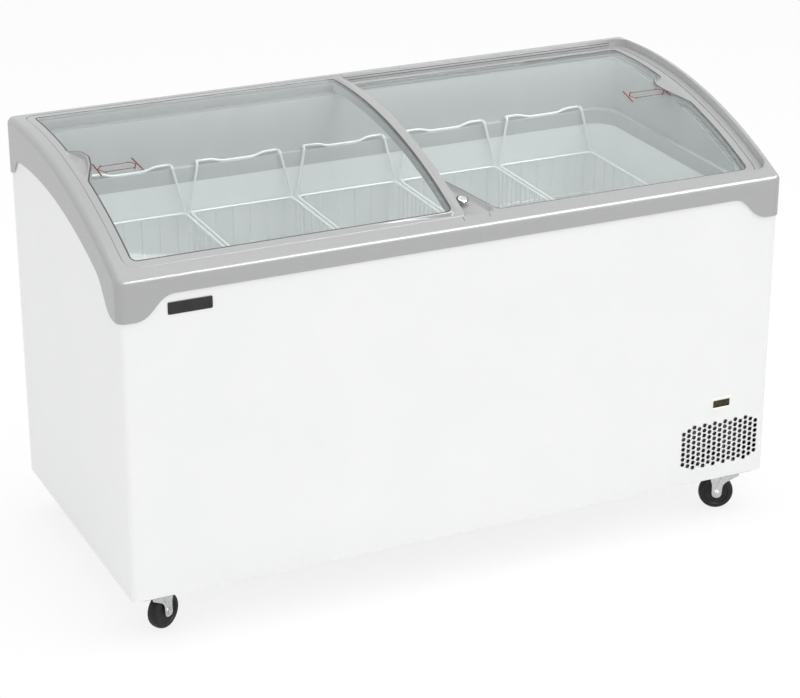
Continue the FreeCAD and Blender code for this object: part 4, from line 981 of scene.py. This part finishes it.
# red slide signs on the panes
sign = {"bar": 3.0, "line": 2.1, "foot": 0.02, "proud": 0.15, "barb": 0.4, "points": 7}
signs = {"left_lid": {"rho": 1223.5, "tips": ((-641.0, -15.2), (-562.9, -12.9)),
                      "bars": (((-643.8, 8.7), (-641.7, -41.7)), ((-563.2, 11.6), (-556.6, -39.8))),
                      "lines": (((-633.3, -5.4), (-573.0, -4.1)), ((-632.0, -27.3), (-569.5, -26.9)))},
         "right_lid": {"rho": 1207.5, "tips": ((551.7, 7.1), (638.8, 9.5)),
                       "bars": (((550.2, 32.7), (546.3, -19.1)), ((642.0, 36.6), (642.2, -14.9))),
                       "lines": (((561.1, 20.1), (628.8, 20.3)), ((560.2, -3.4), (628.5, -2.7)))}}


def stroke(start, end, width, rho):
    # a thin ribbon from start to end, laid on the arc of radius rho: a strip of its width, lifted a little off it
    start, end = np.array(start), np.array(end)
    across = np.array([start[1] - end[1], end[0] - start[0]])
    across = across / np.linalg.norm(across) * width / 2
    share = np.linspace(0, 1, sign["points"])[:, None]
    line = start * (1 - share) + end * share
    edges = ((1, sign["foot"]), (1, sign["proud"]), (-1, sign["proud"]), (-1, sign["foot"]))
    return loft(np.stack([archPoint(*(line + way * across).T, rho + lift) for way, lift in edges], 1))


for body, s in signs.items():
    strokes = [stroke(*bar, sign["bar"], s["rho"]) for bar in s["bars"]]
    for line in s["lines"]:
        strokes.append(stroke(*line, sign["line"], s["rho"]))
        for end, tip in zip(np.array(line), np.array(s["tips"])):
            strokes.append(stroke(end + sign["barb"] * (end - tip), tip, sign["line"], s["rho"]))
    putPiece("slide_sign_" + body, strokes, signInk, body)
print("signs printed")

joints = [stroke((x, track["jointFront"]), (x, track["jointBack"]), track["jointWidth"], moulding["crown"])
          for x in track["joints"]]
putPiece("rail_joints", joints, gasket, "cabinet")

# blank badge on the front; a row is a height and how far the outline is drawn in there
badge = {"middle": (-576.5, 695.5), "half": (44.5, 12.5), "face": -336.0, "corner": 3.0,
         "rows": ((0.0, 0.0), (1.1, 0.0), (1.6, 0.6))}


def badgePlate():
    # an upright rounded plate: its outline at the back, at the front, and drawn in for the front's edge
    b = badge
    half = np.array(b["half"])
    loop = boxLoop(-half[0], half[0], -half[1], half[1], b["corner"])
    rings = [np.insert(b["middle"] + loop * (1 - inset / half), 1, b["face"] - height, axis=1)
             for height, inset in b["rows"]]
    return loft(np.stack(rings))


putPiece("blank_badge", [badgePlate()], "black_plastic", "cabinet")
print("front rail and badge fitted")

# floor, light and camera
stage = {"floor": 40.0, "floorShade": 0.98, "floorGlow": 0.8, "fill": 0.78, "sky": 0.953,
         "camera": (-2.00, -4.33, 2.39), "yaw": 24.9, "pitch": 22.9, "lens": 110.0, "sensor": 36.0}
lamps = {"frontBox": {"place": (-3.6, -5.4, 3.0), "aim": (0.0, 0.0, 0.4), "size": (8.0, 5.0), "power": 46},
         "topStrip": {"place": (1.7, -2.1, 3.9), "aim": (0.0, -0.3, 0.75), "size": (3.6, 0.25), "power": 26},
         "topBox": {"place": (0.1, 0.1, 4.4), "aim": (0.0, 0.0, 0.9), "size": (3.0, 2.0), "power": 48},
         "glint": {"place": (1.8, -2.5, 3.6), "aim": (0.0, -0.34, 0.74), "size": (5.0, 1.3), "power": 900,
                   "diffuse": False}}  # glint is a highlight on the rounded shoulders only


def brightRay(tree):
    # 1 for what the camera, a reflection or a pane sees
    rays = [tree.add("LightPath", output=name) for name in ("Is Camera Ray", "Is Glossy Ray", "Is Transmission Ray")]
    return tree.add("Math", {"operation": "ADD", "use_clamp": True}, {0: rays[0] + rays[1], 1: rays[2]})


def paleFloor(tree):
    # a matt floor that takes the shadow, under a share of plain white where it is seen
    matt = tree.add("BsdfDiffuse", {}, {"Color": (stage["floorShade"],) * 3 + (1.0,)})
    glow = tree.add("Emission", {}, {"Strength": 1.0})
    return stage["floorGlow"] * brightRay(tree), matt, glow


def makeFloor():
    half = stage["floor"]
    mesh = bpy.data.meshes.new("floor")
    mesh.from_pydata([(-half, -half, 0), (half, -half, 0), (half, half, 0), (-half, half, 0)], [], [(0, 1, 2, 3)])
    floor = addObject("floor", mesh)
    mesh.materials.append(makeBlend(paleFloor))


def makeWorld():
    # an even fill, and the far floor's own level where it is seen
    world = bpy.data.worlds.new("studio")
    bpy.context.scene.world = world
    world.use_nodes = True
    start = Feed(world.node_tree)
    seen = brightRay(start)
    strength = stage["sky"] * seen + stage["fill"] * (1 - seen)
    start.fill(world.node_tree.nodes["Background"], {"Color": (1.0, 1.0, 1.0, 1.0), "Strength": strength})


def softBox(name, place, aim, size, power, diffuse=True):
    # a rectangular lamp turned to look at its aim
    light = bpy.data.lights.new(name, "AREA")
    light.shape = "RECTANGLE"
    light.size, light.size_y = size
    light.energy = power
    lamp = addObject(name, light)
    lamp.location = place
    x, y, z = np.array(aim) - np.array(place)
    lamp.rotation_euler = (math.atan2(math.hypot(x, y), -z), 0.0, math.atan2(y, x) - math.pi / 2)
    lamp.visible_diffuse = diffuse


makeFloor()
makeWorld()
for name, lamp in lamps.items():
    softBox(name, **lamp)
view = bpy.data.cameras.new("view")
view.sensor_fit = "HORIZONTAL"
view.sensor_width = stage["sensor"]
view.lens = stage["lens"]
camera = addObject("view", view)
camera.location = stage["camera"]
camera.rotation_euler = (math.radians(90 - stage["pitch"]), 0.0, -math.radians(stage["yaw"]))
bpy.context.scene.camera = camera
bpy.context.scene.view_settings.view_transform = "Standard"
print("stage set")
